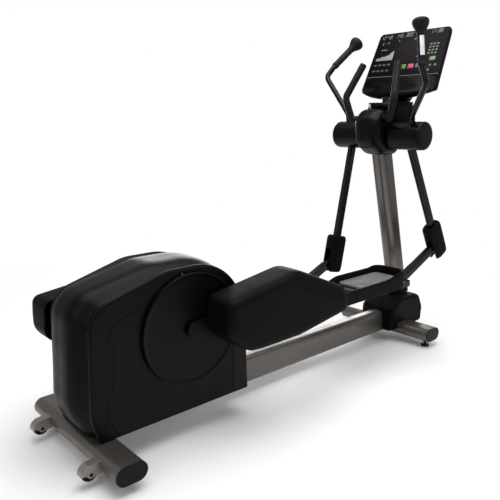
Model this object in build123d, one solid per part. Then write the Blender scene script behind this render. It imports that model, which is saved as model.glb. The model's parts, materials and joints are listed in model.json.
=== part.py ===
"""Rear-drive elliptical cross-trainer.  Millimetres, +X forward to the console, +Y left, +Z up.

The origin is on the floor, midway along the machine's length and width.  At rest the right crank
points forward and the left one back, so the right arm's foot link is at its front dead centre.
"""
from build123d import *
import os
from math import atan2, cos, degrees, hypot, radians, sin, sqrt

os.makedirs("parts", exist_ok=True)

# ---------------------------------------------------------------- driving dimensions
# floor frame
REAR_X = -963.0            # rear stabiliser's centre line
WHEELBASE = 1800.0         # rear stabiliser to front stabiliser
FRONT_X = REAR_X + WHEELBASE
STAB_W, STAB_H, STAB_Z = 115.0, 68.0, 70.0
STAB_WALL = 4.0
REAR_HALF, FRONT_HALF = 320.0, 281.0
RAIL_W, RAIL_H, RAIL_Z = 80.0, 120.0, 105.0
RAIL_WALL = 4.0
RAIL_FRONT = 1948.0        # from the rear stabiliser
RAIL_TOP = RAIL_Z + RAIL_H / 2
FOOT_R, FOOT_H = 20.0, 12.0
FOOT_Y = 238.0
WHEEL_R, WHEEL_W = 28.0, 20.0
WHEEL_BACK, WHEEL_Y, WHEEL_Z = 86.0, 192.0, 51.0

# drive
CRANK_X, CRANK_Z = REAR_X + 358.0, 423.0
CRANK_R = 228.0
DISC_R = 208.0
AXLE_R = 17.5
SIDE_Y = 150.0             # shroud's flat side
SHROUD_Z = 106.0           # shroud's lower edge
SHROUD_TOP_R = 252.0       # shroud's front arc, about the crank
SKIN = 5.0                 # moulded covers' thickness
DISC_Y0, DISC_Y1 = 151.0, 165.0
ARM_PLATE_Y0, ARM_PLATE_Y1 = 167.0, 179.0
PIN_END_Y = 182.0
PULLEY_R, SMALL_PULLEY_R = 165.0, 33.0
SECOND_R, ROTOR_R = 75.0, 30.0
MID_X, MID_Z = REAR_X + 130.0, 290.0       # intermediate shaft
ROTOR_X, ROTOR_Z = REAR_X + 75.0, 480.0    # alternator shaft

# swing arms
PIVOT_X, PIVOT_Z = REAR_X + 1648.0, 1086.0
ARM_LEN = 657.0
ARM_REST = 28.9            # right arm, degrees forward of plumb
ARM_Y = 163.0
HUB_COVER_R = 67.0
HUB_Y0, HUB_Y1 = 79.0, 260.0
MAST_TILT = 14.5
MAST_X, MAST_Y = 104.0, 76.0

# foot levers
COVER_Y0, COVER_Y1 = 185.0, 320.0
PEDAL_Y0, PEDAL_Y1 = 45.0, 232.0
LINK_Y0, LINK_Y1 = 151.0, 175.0
BEAM_TOP, BEAM_BOTTOM = -130.0, -158.0     # pedal beam, below the front pin
TUBE_WALL = 3.0
TRAY_X0, TRAY_X1 = -790.0, -352.0          # foot tray, from the front pin
TRAY_LOW, TRAY_RIM, TRAY_FLOOR = -157.0, -95.0, -112.0
PAD_X0, PAD_X1, PAD_Y0, PAD_Y1, PAD_TOP = -736.0, -411.0, 62.0, 213.0, -101.0

# head and bottle cups
HEAD_HALF, HEAD_WALL = 76.0, 4.0
HEAD_SEAM_X = REAR_X + 1663.0
HEAD_FRONT_TOP = 1154.0    # front half's top, under the cups
CUP_X, CUP_Y = REAR_X + 1722.0, 76.0
CUP_TOP, CUP_BOTTOM, CUP_FLOOR = 1246.0, 1156.0, 1171.0
CUP_SKIRT_TOP, CUP_SKIRT_LOW = 47.0, 60.0  # skirt's radii
CUP_WELL_TOP, CUP_WELL_LOW = 42.0, 38.0    # well's radii

# console, in its own frame: origin at the bottom of the face
CONSOLE_X, CONSOLE_Z = REAR_X + 1765.0, 1301.0
CONSOLE_TILT = 24.4
CONSOLE_H = 334.0
CONSOLE_BOTTOM, CONSOLE_TOP = 444.0, 412.0
KEYS = {"key_start": (2, 134, 28, 26), "key_stop": (-40, 134, 34, 28), "key_cool": (-80, 134, 28, 26),
        "key_enter": (-153, 167, 34, 24)}  # centre across and up the face, width, height

GAP = 0.3                  # between faces of different bodies
FIT = 0.05                 # running fit, radial

# ---------------------------------------------------------------- linkage at rest
FRONT_PIN_R = (PIVOT_X + ARM_LEN * sin(radians(ARM_REST)), PIVOT_Z - ARM_LEN * cos(radians(ARM_REST)))
DEAD_CENTRE = atan2(FRONT_PIN_R[1] - CRANK_Z, FRONT_PIN_R[0] - CRANK_X)
LEVER_LEN = hypot(FRONT_PIN_R[0] - CRANK_X, FRONT_PIN_R[1] - CRANK_Z) - CRANK_R
REAR_PIN_R = (CRANK_X + CRANK_R * cos(DEAD_CENTRE), CRANK_Z + CRANK_R * sin(DEAD_CENTRE))
REAR_PIN_L = (CRANK_X - CRANK_R * cos(DEAD_CENTRE), CRANK_Z - CRANK_R * sin(DEAD_CENTRE))


def meet(a, ra, b, rb):
    """Lower of the two points that are ra from a and rb from b."""
    dx, dz = b[0] - a[0], b[1] - a[1]
    gap = hypot(dx, dz)
    along = (ra * ra - rb * rb + gap * gap) / (2 * gap)
    off = sqrt(ra * ra - along * along)
    return (a[0] + (along * dx + off * dz) / gap, a[1] + (along * dz - off * dx) / gap)


FRONT_PIN_L = meet(REAR_PIN_L, LEVER_LEN, (PIVOT_X, PIVOT_Z), ARM_LEN)
LEFT_REST = degrees(atan2(FRONT_PIN_L[0] - PIVOT_X, PIVOT_Z - FRONT_PIN_L[1]))
LEVER_SLOPE_R = DEAD_CENTRE
LEVER_SLOPE_L = atan2(FRONT_PIN_L[1] - REAR_PIN_L[1], FRONT_PIN_L[0] - REAR_PIN_L[0])
LEVER_TURN = degrees(LEVER_SLOPE_R - LEVER_SLOPE_L)        # degrees, lever's change of slope
REAR_PIN = (-LEVER_LEN * cos(LEVER_SLOPE_R), -LEVER_LEN * sin(LEVER_SLOPE_R))  # from the front pin

SIDES = {"left": 1, "right": -1}


# ---------------------------------------------------------------- helpers
def block(x0, x1, y0, y1, z0, z1):
    """Box between two corners."""
    centre = Pos((x0 + x1) / 2, (y0 + y1) / 2, (z0 + z1) / 2)
    return centre * Box(abs(x1 - x0), abs(y1 - y0), abs(z1 - z0))


def across(sketch, y0, y1):
    """Extrude an (x, z) sketch between two values of Y."""
    lo, hi = min(y0, y1), max(y0, y1)
    return Pos(0, hi, 0) * Rot(90, 0, 0) * extrude(sketch, amount=hi - lo)


def rod(radius, x, z, y0, y1):
    """Cylinder along Y."""
    return across(Pos(x, z) * Circle(radius), y0, y1)


def outline(points, radii):
    """Polygon whose corners are rounded one by one."""
    face = make_face(Polyline(*points, close=True))
    for point, radius in zip(points, radii):
        if radius:
            corner = face.vertices().sort_by_distance((point[0], point[1], 0))[0]
            face = fillet(corner, radius)
    return face


def bar(a, b, sketch):
    """Extrude a sketch along the line from a to b; the sketch's x lies in the XZ plane."""
    start, end = Vector(*a), Vector(*b)
    axis = (end - start).normalized()
    side = Vector(0, 1, 0).cross(axis).normalized()
    return extrude(Plane(start, x_dir=side, z_dir=axis) * sketch, amount=(end - start).length)


def pipe(points, bends, radius):
    """Round bar along straight runs joined by arcs."""
    path = FilletPolyline(*points, radius=bends)
    return sweep(Plane(path @ 0, z_dir=path % 0) * Circle(radius), path)


def side_edges(solid, y):
    """Edges that lie in the plane Y = y."""
    return solid.edges().filter_by(lambda e: abs(e.bounding_box().min.Y - y) < 0.01
                                   and abs(e.bounding_box().max.Y - y) < 0.01)


def slab(sketch, half, radius, low=None):
    """Slab from -half to half with rounded side edges; edges below low stay sharp."""
    solid = across(sketch, -half, half)
    edges = side_edges(solid, half) + side_edges(solid, -half)
    if low is not None:
        edges = edges.filter_by(lambda e: e.bounding_box().max.Z > low)
    return fillet(edges, radius)


def largest(shape):
    return shape.solids().sort_by(SortBy.VOLUME)[-1]


def save(shape, name):
    export_step(shape, f"parts/{name}.step")


def group(*solids):
    """Separate solids that share a node."""
    flat = []
    for solid in solids:
        flat.extend(solid.solids())
    return Compound(children=flat)


def in_arm(side, shape):
    """Place a piece drawn in the arm's frame: pivot at the origin, arm hanging plumb."""
    angle = ARM_REST if side == "right" else LEFT_REST
    return Pos(PIVOT_X, 0, PIVOT_Z) * Rot(0, -angle, 0) * shape


def in_lever(side, shape):
    """Place a piece drawn from the front pin, in the slope of the right lever at rest."""
    pin = FRONT_PIN_R if side == "right" else FRONT_PIN_L
    turn = 0.0 if side == "right" else LEVER_TURN
    return Pos(pin[0], 0, pin[1]) * Rot(0, turn, 0) * shape


def in_console(shape):
    """Place a piece drawn in the console's frame: x behind the face, z up it."""
    return Pos(CONSOLE_X, 0, CONSOLE_Z) * Rot(0, CONSOLE_TILT, 0) * shape


# ---------------------------------------------------------------- floor frame
def stabiliser_section(x, grow=0.0):
    return Pos(x, STAB_Z) * SlotOverall(STAB_W + 2 * grow, STAB_H + 2 * grow)


def foot_points():
    return [(REAR_X + 14, FOOT_Y), (REAR_X + 14, -FOOT_Y), (FRONT_X, FOOT_Y), (FRONT_X, -FOOT_Y)]


def stabiliser(x, half):
    tube_half = half - 5
    tube = across(stabiliser_section(x), -tube_half, tube_half)
    tube -= across(stabiliser_section(x, -STAB_WALL), -tube_half, tube_half)
    for foot_x, foot_y in foot_points():
        if abs(foot_x - x) < 40:
            tube -= Pos(foot_x, foot_y, STAB_Z - STAB_H / 2) * Cylinder(6.3, 20)
    return tube


def stabiliser_caps():
    caps = []
    for x, half in ((REAR_X, REAR_HALF), (FRONT_X, FRONT_HALF)):
        for sign in (1, -1):
            face = across(stabiliser_section(x), sign * (half - 5), sign * half)
            face = fillet(side_edges(face, sign * half), 3)
            plug = across(stabiliser_section(x, -STAB_WALL - GAP), sign * (half - 22), sign * (half - 5))
            caps.append(face + plug)
    return group(*caps)


def levelling_feet():
    feet = []
    for x, y in foot_points():
        pad = Pos(x, y, FOOT_H / 2) * Cylinder(FOOT_R, FOOT_H)
        pad = fillet(pad.edges().group_by(Axis.Z)[-1], 4)
        nut = Pos(x, y, 24) * extrude(RegularPolygon(11, 6), amount=8)
        stem = Pos(x, y, 31) * Cylinder(6, 42)
        feet.append(pad + stem + nut)
    return group(*feet)


def main_rail():
    section = RectangleRounded(RAIL_W, RAIL_H, 30)
    bore = RectangleRounded(RAIL_W - 2 * RAIL_WALL, RAIL_H - 2 * RAIL_WALL, 30 - RAIL_WALL)
    start, end = REAR_X + 20, REAR_X + RAIL_FRONT
    place = Plane((start, 0, RAIL_Z), x_dir=(0, 1, 0), z_dir=(1, 0, 0))
    rail = extrude(place * section, amount=end - start)
    rail -= extrude(place * bore, amount=end - start)
    rail -= across(stabiliser_section(REAR_X, 0.05), -60, 60)
    rail -= across(stabiliser_section(FRONT_X, 0.05), -60, 60)
    keep = block(REAR_X + STAB_W / 2 - 30, end, -60, 60, 0, RAIL_TOP + 5)
    rail = largest(rail & keep)
    end_plate = extrude(place * section, amount=5)
    return rail + Pos(end - start, 0, 0) * end_plate


def wheel_bracket(sign):
    y = sign * WHEEL_Y
    axle = (REAR_X - WHEEL_BACK, WHEEL_Z)
    hood = Pos(*axle) * Circle(WHEEL_R + 6)
    neck = outline([(axle[0], axle[1] + WHEEL_R + 6), (REAR_X - 20, axle[1] + WHEEL_R + 16),
                    (REAR_X - 20, axle[1] - 6), (axle[0], axle[1] - 12)], [0, 0, 0, 0])
    body = across(hood + neck, y - 16, y + 16)
    body -= rod(WHEEL_R + 3, axle[0], axle[1], y - 12, y + 12)
    body -= block(axle[0] - 60, axle[0] + WHEEL_R + 3, y - 12, y + 12, 0, axle[1] + 4)
    body -= block(axle[0] - 60, axle[0], y - 12, y + 12, 0, axle[1] + 12)
    body -= block(axle[0] - 60, REAR_X, y - 20, y + 20, 0, axle[1] - 14)
    body -= rod(4.0, axle[0], axle[1], y - 20, y + 20)
    body -= across(stabiliser_section(REAR_X, 0.05), -400, 400)
    return largest(body)


def wheel_axles():
    x, z = REAR_X - WHEEL_BACK, WHEEL_Z
    axles = []
    for sign in (1, -1):
        y = sign * WHEEL_Y
        heads = rod(7, x, z, y + 16, y + 19) + rod(7, x, z, y - 19, y - 16)
        axles.append(rod(3.98, x, z, y - 19, y + 19) + heads)
    return group(*axles)


def transport_wheel(sign):
    x, z, y = REAR_X - WHEEL_BACK, WHEEL_Z, sign * WHEEL_Y
    wheel = rod(WHEEL_R, x, z, y - WHEEL_W / 2, y + WHEEL_W / 2)
    wheel = fillet(wheel.edges().filter_by(GeomType.CIRCLE), 4)
    return wheel - rod(3.98 + FIT, x, z, y - WHEEL_W, y + WHEEL_W)


# ---------------------------------------------------------------- mast and base cover
def mast_bar(length_down, length_up, grow=0.0):
    """Prism on the mast's line, from below the arm pivot to above it."""
    section = RectangleRounded(MAST_X + 2 * grow, MAST_Y + 2 * grow, 30 + grow)
    prism = Pos(0, 0, -length_down) * extrude(section, amount=length_down + length_up)
    return Pos(PIVOT_X, 0, PIVOT_Z) * Rot(0, -MAST_TILT, 0) * prism


def mast():
    tube = mast_bar(1000, 52) - mast_bar(1001, 48, -4)
    tube = tube & block(PIVOT_X - 200, PIVOT_X + 500, -100, 100, RAIL_TOP, 1300)
    return tube - rod(20.05, PIVOT_X, PIVOT_Z, -100, 100)


def base_cover():
    x0, x1 = REAR_X + 1690, REAR_X + 1982
    shape = outline([(x0, 62), (x1 - 8, 62), (x1, 150), (x1 - 40, 226), (x0 + 75, 236), (x0, 178)],
                    [0, 24, 45, 40, 60, 30])
    shell = slab(shape, 102, 18, 63) - slab(offset(shape, -4), 98, 14, 67)
    shell -= block(x0 + 4, x1 - 4, -98, 98, 0, 70)
    shell -= mast_bar(1000, 0, 0.4)
    shell -= block(x0 - 10, x0 + 80, -RAIL_W / 2 - 0.5, RAIL_W / 2 + 0.5, 0, RAIL_TOP + 0.6)
    shell -= across(stabiliser_section(FRONT_X, 0.8), -150, 150)
    shell -= block(FRONT_X - STAB_W / 2 - 0.8, FRONT_X + STAB_W / 2 + 0.8, -150, 150, 0, STAB_Z)
    return largest(shell)


def mast_collar():
    """Moulded boot round the mast where it leaves the base cover."""
    sleeve = mast_bar(1000, -820, 12) - mast_bar(1000, -820, 0.3)
    return sleeve & block(PIVOT_X, PIVOT_X + 500, -150, 150, 238, 286)


# ---------------------------------------------------------------- drive
def crank_carrier():
    plate = outline([(REAR_X + 70, 90), (REAR_X + 520, 90), (REAR_X + 520, 190), (CRANK_X + 62, 440),
                     (CRANK_X + 20, 485), (CRANK_X - 60, 485), (REAR_X + 130, 540), (REAR_X + 20, 540),
                     (REAR_X + 20, 400), (REAR_X + 70, 250)],
                    [10, 10, 40, 40, 30, 30, 20, 20, 30, 30])
    solid = None
    for sign in (1, -1):
        web = across(plate, sign * 40, sign * 46)
        housing = rod(42, CRANK_X, CRANK_Z, sign * 40, sign * 84)
        web = web + housing - rod(31.05, CRANK_X, CRANK_Z, sign * 30, sign * 90)
        web -= rod(14, MID_X, MID_Z, sign * 30, sign * 60)
        web -= rod(16, ROTOR_X, ROTOR_Z, sign * 30, sign * 60)
        solid = web if solid is None else solid + web
    for x, z in ((REAR_X + 480, 185), (REAR_X + 230, 480), (REAR_X + 40, 412)):
        solid += rod(9, x, z, -41, 41)
    return solid


def crank_bearings():
    return group(*[rod(31, CRANK_X, CRANK_Z, s * 56, s * 78)
                   - rod(AXLE_R + FIT, CRANK_X, CRANK_Z, s * 50, s * 90) for s in (1, -1)])


def crank_axle():
    axle = rod(AXLE_R, CRANK_X, CRANK_Z, -ARM_PLATE_Y1, ARM_PLATE_Y1)
    collar = rod(24, CRANK_X, CRANK_Z, 86, 96) + rod(24, CRANK_X, CRANK_Z, -96, -86)
    return axle + collar


def pulley(radius, x, z, y0, y1, bore, hub):
    """Flanged belt pulley with a dished web."""
    lo, hi = min(y0, y1), max(y0, y1)
    wheel = rod(radius + 3, x, z, lo, hi) - rod(radius + 4, x, z, lo + 3, hi - 3)
    wheel += rod(radius, x, z, lo, hi)
    if radius > 60:
        wheel -= rod(radius - 12, x, z, lo - 1, lo + 5) - rod(hub, x, z, lo - 2, lo + 6)
        wheel -= rod(radius - 12, x, z, hi - 5, hi + 1) - rod(hub, x, z, hi - 6, hi + 2)
    return wheel - rod(bore, x, z, lo - 5, hi + 5)


def belt(a, ra, b, rb, y0, y1):
    """Belt loop round two pulleys, lying clear of both by the gap."""
    thick = 4.0
    loops = []
    for clear in (GAP + thick, GAP):
        ends = (Pos(*a) * Circle(ra + clear)).edges() + (Pos(*b) * Circle(rb + clear)).edges()
        loops.append(make_hull(ends))
    outer, inner = loops
    return across(outer, y0, y1) - across(inner, y0 - 1, y1 + 1)


def drive_pulley():
    return pulley(PULLEY_R, CRANK_X, CRANK_Z, 98, 118, AXLE_R + 0.02, 45)


def intermediate_pulley():
    """Shaft with the small pulley of the first belt and the large pulley of the second."""
    shaft = rod(10, MID_X, MID_Z, -84, 122)
    small = pulley(SMALL_PULLEY_R, MID_X, MID_Z, 98, 118, 5, 20)
    large = pulley(SECOND_R, MID_X, MID_Z, -80, -60, 5, 25)
    return shaft + small + large


def alternator_rotor():
    shaft = rod(9, ROTOR_X, ROTOR_Z, -82, 33)
    return shaft + pulley(ROTOR_R, ROTOR_X, ROTOR_Z, -80, -60, 5, 15)


def alternator_housing():
    body = rod(56, ROTOR_X, ROTOR_Z, -40, 39)
    cavity = rod(9.05, ROTOR_X, ROTOR_Z, -41, -20) + rod(30, ROTOR_X, ROTOR_Z, -20, 35)
    return fillet(side_edges(body, 39), 6) - cavity


def crank_discs():
    discs = []
    for sign in (1, -1):
        disc = rod(DISC_R, CRANK_X, CRANK_Z, sign * DISC_Y0, sign * DISC_Y1)
        disc = fillet(side_edges(disc, sign * DISC_Y1), 6)
        disc -= rod(DISC_R - 8, CRANK_X, CRANK_Z, sign * (DISC_Y0 - 1), sign * (DISC_Y1 - 5))
        disc += rod(40, CRANK_X, CRANK_Z, sign * DISC_Y0, sign * DISC_Y1)
        discs.append(disc - rod(AXLE_R + 0.02, CRANK_X, CRANK_Z, -200, 200))
    return group(*discs)


def crank_pin_centre(side):
    return REAR_PIN_R if side == "right" else REAR_PIN_L


def crank_arms():
    arms = []
    for side, sign in SIDES.items():
        pin = crank_pin_centre(side)
        shape = make_hull((Pos(CRANK_X, CRANK_Z) * Circle(31)).edges() + (Pos(*pin) * Circle(22)).edges())
        arm = across(shape, sign * ARM_PLATE_Y0, sign * ARM_PLATE_Y1)
        arm = fillet(side_edges(arm, sign * ARM_PLATE_Y1), 2)
        arm -= rod(AXLE_R + 0.02, CRANK_X, CRANK_Z, -200, 200)
        arms.append(arm - rod(12.02, pin[0], pin[1], -200, 200))
    return group(*arms)


def crank_pins():
    pins = []
    for side, sign in SIDES.items():
        pin = crank_pin_centre(side)
        pins.append(rod(12, pin[0], pin[1], sign * (ARM_PLATE_Y0 - 1), sign * PIN_END_Y))
    return group(*pins)


# ---------------------------------------------------------------- shroud
def shroud_profile():
    """Side view of the rear shroud at its widest, crowned section; it runs on below its lower edge."""
    x, low = REAR_X, SHROUD_Z - 46
    top = CRANK_Z + SHROUD_TOP_R
    nose = CRANK_X + SHROUD_TOP_R
    return outline([(x + 10, low), (x - 92, 200), (x - 66, 592), (x + 250, top), (nose, top), (nose + 18, 290),
                    (nose + 20, low)], [0, 160, 95, 200, SHROUD_TOP_R - 1, 90, 0])


def panel_profile():
    """Side panel under the crank disc, bounded by the shroud's seam."""
    x = REAR_X
    return outline([(x + 57, 100), (x + 14, 180), (x + 12, 245), (x + 34, 280), (x + 46, 430), (x + 26, 460),
                    (x + 32, 490), (x + 80, 520), (x + 250, 570), (x + 480, 560), (x + 556, 420),
                    (x + 556, 100)],
                   [0, 40, 20, 25, 15, 12, 18, 40, 0, 0, 0, 0])


def shroud_skin():
    """Thin rounded skin of the whole shroud, open below."""
    outer = slab(shroud_profile(), SIDE_Y, 24, SHROUD_Z)
    inner = slab(offset(shroud_profile(), -SKIN), SIDE_Y - SKIN, 24 - SKIN, SHROUD_Z)
    return (outer - inner) & block(REAR_X - 200, REAR_X + 700, -200, 200, SHROUD_Z, 800)


def disc_opening():
    return Pos(CRANK_X, CRANK_Z) * Circle(DISC_R + 4)


def front_cap_box(shrink):
    return block(REAR_X + 556 + shrink, REAR_X + 700, -200, 200, 90, 400 - shrink)


def shroud_shell(skin):
    shell = skin - across(panel_profile() + disc_opening(), -200, 200)
    return largest(shell - front_cap_box(0.0))


def shroud_front_cap(skin):
    cap = (skin & front_cap_box(0.6)) - across(disc_opening(), -200, 200)
    cap -= block(REAR_X + 500, REAR_X + 700, -RAIL_W / 2 - 2, RAIL_W / 2 + 2, 90, RAIL_TOP + 2)
    return largest(cap)


def shroud_sides():
    panels = []
    shape = offset(panel_profile(), -0.6) - disc_opening()
    for sign in (1, -1):
        panel = across(shape, sign * (SIDE_Y - SKIN), sign * SIDE_Y)
        panels.append(largest(panel & block(REAR_X - 100, REAR_X + 700, -200, 200, SHROUD_Z, 700)))
    return group(*panels)


# ---------------------------------------------------------------- head and arms
def pivot_shaft():
    shaft = rod(20, PIVOT_X, PIVOT_Z, -246, 246)
    washers = rod(31, PIVOT_X, PIVOT_Z, 246, 250) + rod(31, PIVOT_X, PIVOT_Z, -250, -246)
    return shaft + washers


def arm_bushes():
    bushes = []
    for sign in (1, -1):
        for y in (96, 226):
            bush = rod(25, PIVOT_X, PIVOT_Z, sign * y, sign * (y + 18))
            bushes.append(bush - rod(20.02, PIVOT_X, PIVOT_Z, sign * (y - 1), sign * (y + 19)))
    return group(*bushes)


def cup_points():
    return [(CUP_X, CUP_Y), (CUP_X, -CUP_Y)]


def cup_skirt(x, y, grow=0.0):
    """Outside of a bottle cup, wider below."""
    height = CUP_TOP - CUP_BOTTOM
    cone = Cone(CUP_SKIRT_LOW + grow, CUP_SKIRT_TOP + grow, height + 2 * grow)
    return Pos(x, y, CUP_BOTTOM + height / 2) * cone


def head_cover():
    """Two mouldings round the mast's head, meeting at a seam behind the cups."""
    x = REAR_X
    shape = outline([(x + 1600, 992), (x + 1716, 985), (x + 1748, 1110), (x + 1758, 1206), (x + 1560, 1214),
                     (x + 1512, 1160), (x + 1528, 1040)], [40, 25, 60, 30, 40, 50, 60])
    solid = slab(shape, HEAD_HALF, 20) - slab(offset(shape, -HEAD_WALL), HEAD_HALF - HEAD_WALL, 16)
    solid -= mast_bar(300, 0, 0.6)
    solid -= rod(36, PIVOT_X, PIVOT_Z, -100, 100)
    for cup_x, cup_y in cup_points():
        solid -= cup_skirt(cup_x, cup_y, 1)
    for sign in (1, -1):
        solid -= pipe(fixed_handle_points(sign), [20, 45], 17.3)
    rear = solid & block(x + 1500, HEAD_SEAM_X, -100, 100, 900, 1300)
    front = solid & block(HEAD_SEAM_X + GAP, x + 1800, -100, 100, 900, HEAD_FRONT_TOP)
    return group(largest(rear), largest(front))


def accessory_tray():
    """Bridge behind the console's neck with a bottle cup each side."""
    solid = Pos(REAR_X + 1690, 0, 1222) * extrude(RectangleRounded(150, 150, 50), amount=18)
    solid += block(HEAD_SEAM_X - 23, HEAD_SEAM_X + 77, -28, 28, 1214.2, 1224)
    solid += block(HEAD_SEAM_X + 2, HEAD_SEAM_X + 92, -28, 28, HEAD_FRONT_TOP + GAP, 1224)
    for x, y in cup_points():
        solid += cup_skirt(x, y)
    depth = CUP_TOP - CUP_FLOOR
    for x, y in cup_points():
        solid -= Pos(x, y, CUP_FLOOR + depth / 2) * Cone(CUP_WELL_LOW, CUP_WELL_TOP, depth + 0.02)
    return solid


def console_neck():
    """Bracket from between the cups up to the console's back, flaring above them."""
    x = REAR_X
    shape = outline([(x + 1655, 1240.2), (x + 1765, 1240.2), (x + 1850, 1330), (x + 1900, 1440),
                     (x + 1800, 1440), (x + 1700, 1290)], [0, 20, 60, 0, 0, 40])
    flare = make_face(Polyline((-22, 1230), (22, 1230), (28, 1262), (72, 1300), (72, 1450), (-72, 1450),
                               (-72, 1300), (-28, 1262), close=True))
    front_view = Plane((x + 1600, 0, 0), x_dir=(0, 1, 0), z_dir=(1, 0, 0)) * flare
    neck = across(shape, -80, 80) & extrude(front_view, amount=400)
    neck -= in_console(block(-200, 50.2, -300, 300, 2.5, 500))
    return largest(neck - in_console(block(-200, 13, -300, 300, -45, 5)))


def fixed_handle_points(sign):
    x = REAR_X
    return [(x + 1608, sign * 56, 1172), (x + 1562, sign * 112, 1160), (x + 1545, sign * 144, 1268),
            (x + 1626, sign * 101, 1430)]


def fixed_handles():
    handles = []
    for sign in (1, -1):
        tube = pipe(fixed_handle_points(sign), [20, 45], 17)
        handles.append(fillet(tube.edges().sort_by(Axis.Z)[-1], 6))
    return group(*handles)


def arm_tube(side):
    """Hub, lower tube and fork of one swing arm."""
    sign = SIDES[side]
    y = sign * ARM_Y
    hub = rod(32, 0, 0, sign * 95, sign * 245)
    tube = Pos(0, y, -(ARM_LEN - 52)) * extrude(SlotOverall(50, 28), amount=ARM_LEN - 52)
    bore = Pos(0, y, -(ARM_LEN - 51)) * extrude(SlotOverall(44, 22), amount=ARM_LEN - 85)
    fork = outline([(-22, -ARM_LEN - 22), (22, -ARM_LEN - 22), (22, -ARM_LEN + 80), (-22, -ARM_LEN + 80)],
                   [21, 21, 0, 0])
    plates = across(fork, y - 18, y + 18) - block(-40, 40, y - 13, y + 13, -ARM_LEN - 30, -ARM_LEN + 52)
    arm = hub + tube + plates - bore
    pin = rod(10, 0, -ARM_LEN, y - 18, y + 18)
    arm = arm - rod(25.02 + FIT, 0, 0, sign * 90, sign * 250) + pin
    return in_arm(side, arm)


def handle_points(sign):
    return [(0, sign * 203, 34), (-12, sign * 214, 104), (-58, sign * 366, 292), (-34, sign * 345, 352),
            (70, sign * 311, 497)]


def grip_axis(sign):
    low, high = (Vector(*point) for point in handle_points(sign)[3:])
    return low, (high - low).normalized(), (high - low).length


def handle_path(sign, radius):
    """Upper tube of an arm, running a little way into its grip."""
    low, axis, _ = grip_axis(sign)
    end = low + axis * 40
    return pipe(handle_points(sign)[:4] + [(end.X, end.Y, end.Z)], [45, 34, 20], radius)


def handle_tube(side):
    sign = SIDES[side]
    tube = handle_path(sign, 14) - handle_path(sign, 14 - 2.5)
    return in_arm(side, tube - rod(32.05, 0, 0, sign * 90, sign * 250))


def grip(side):
    """Rubber grip with a palm bulb at its end."""
    sign = SIDES[side]
    low, axis, length = grip_axis(sign)
    frame = Plane(low + axis * 5, z_dir=axis)
    body = extrude(frame * Circle(17), amount=length - 5)
    bulb = Pos(low + axis * length) * Sphere(34)
    return in_arm(side, body + bulb - sensor_strip(sign, 0.15) - handle_path(sign, 14.02))


def sensor_strip(sign, grow=0.0):
    """Pulse-sensor strip let into the outer rear of a grip."""
    low, axis, _ = grip_axis(sign)
    back = Vector(-1, 0.85 * sign, 0)
    back = (back - axis * back.dot(axis)).normalized()
    frame = Plane(low + axis * 46, x_dir=back, z_dir=axis)
    ring = Circle(18.2) - Circle(15.8 - grow)
    wedge = Pos(14, 0) * Rectangle(16, 19 + 2 * grow)
    return extrude(frame * (ring & wedge), amount=88 + grow)


def pulse_sensor(side):
    return in_arm(side, sensor_strip(SIDES[side]))


def hub_cover(side):
    """Round cover over one arm's hub; turns with the arm."""
    sign = SIDES[side]
    cover = rod(HUB_COVER_R, 0, 0, sign * HUB_Y0, sign * HUB_Y1)
    cover = fillet(side_edges(cover, sign * HUB_Y1), 12)
    cover = fillet(side_edges(cover, sign * HUB_Y0), 5)
    cover -= rod(HUB_COVER_R - 5, 0, 0, sign * (HUB_Y0 - 1), sign * (HUB_Y1 - 5))
    y = sign * ARM_Y
    cover -= Pos(0, y, -100) * extrude(SlotOverall(50.6, 28.6), amount=100)
    cover -= pipe(handle_points(sign)[:3], [45], 14.3)
    return in_arm(side, largest(cover))


def boot(side):
    """Moulded sleeve over the fork, slotted behind for the foot lever's link."""
    sign = SIDES[side]
    y = sign * ARM_Y
    top, bottom = -ARM_LEN + 126, -ARM_LEN - 68
    body = Pos(0, y, bottom) * extrude(SlotOverall(112, 76), amount=top - bottom)
    rims = body.edges().filter_by(lambda e: abs(e.bounding_box().size.Z) < 0.01)
    body = fillet(rims, 8)
    body -= Pos(0, y, bottom) * extrude(SlotOverall(50.4, 28.4), amount=top - bottom + 1)
    body -= block(-80, 27, y - 18.4, y + 18.4, -ARM_LEN - 90, -ARM_LEN + 50)
    body -= block(-22.3, 22.3, y - 18.4, y + 18.4, -ARM_LEN, -ARM_LEN + 80.5)
    return in_arm(side, body)


# ---------------------------------------------------------------- foot levers
def rear_beam(sign, grow=0.0):
    px, pz = REAR_PIN
    section = RectangleRounded(46 + 2 * grow, 34 + 2 * grow, 8)
    return bar((px, sign * 211, pz), (-920, sign * 211, -138), section)


def link_bar(sign, grow=0.0):
    """Square tube from the pedal beam up to the front pin."""
    return bar((-325, sign * ARM_Y, -146), (0, sign * ARM_Y, 0),
               RectangleRounded(40 + 2 * grow, 24 + 2 * grow, 8))


def lever_hollow(sign):
    """Inside of the lever's welded tubes, joined from end to end and drained below."""
    px, pz = REAR_PIN
    low, high = BEAM_BOTTOM + TUBE_WALL, BEAM_TOP - TUBE_WALL
    platform = block(-847, -321, sign * 123, sign * 225, low, high)
    tail = block(-937, -840, sign * 197, sign * 225, low, high)
    run = Vector(-920 - px, 0, -138 - pz).normalized()
    start, end = Vector(px, sign * 211, pz) + run * 40, Vector(-920, sign * 211, -138) - run * TUBE_WALL
    rear = bar((start.X, start.Y, start.Z), (end.X, end.Y, end.Z), RectangleRounded(40, 28, 5))
    link = link_bar(sign, -TUBE_WALL) & block(-340, -28, sign * 120, sign * 228, -200, 40)
    drain = Pos(-500, sign * 174, BEAM_BOTTOM) * Cylinder(5, 12)
    return platform + tail + rear + link + drain


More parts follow.
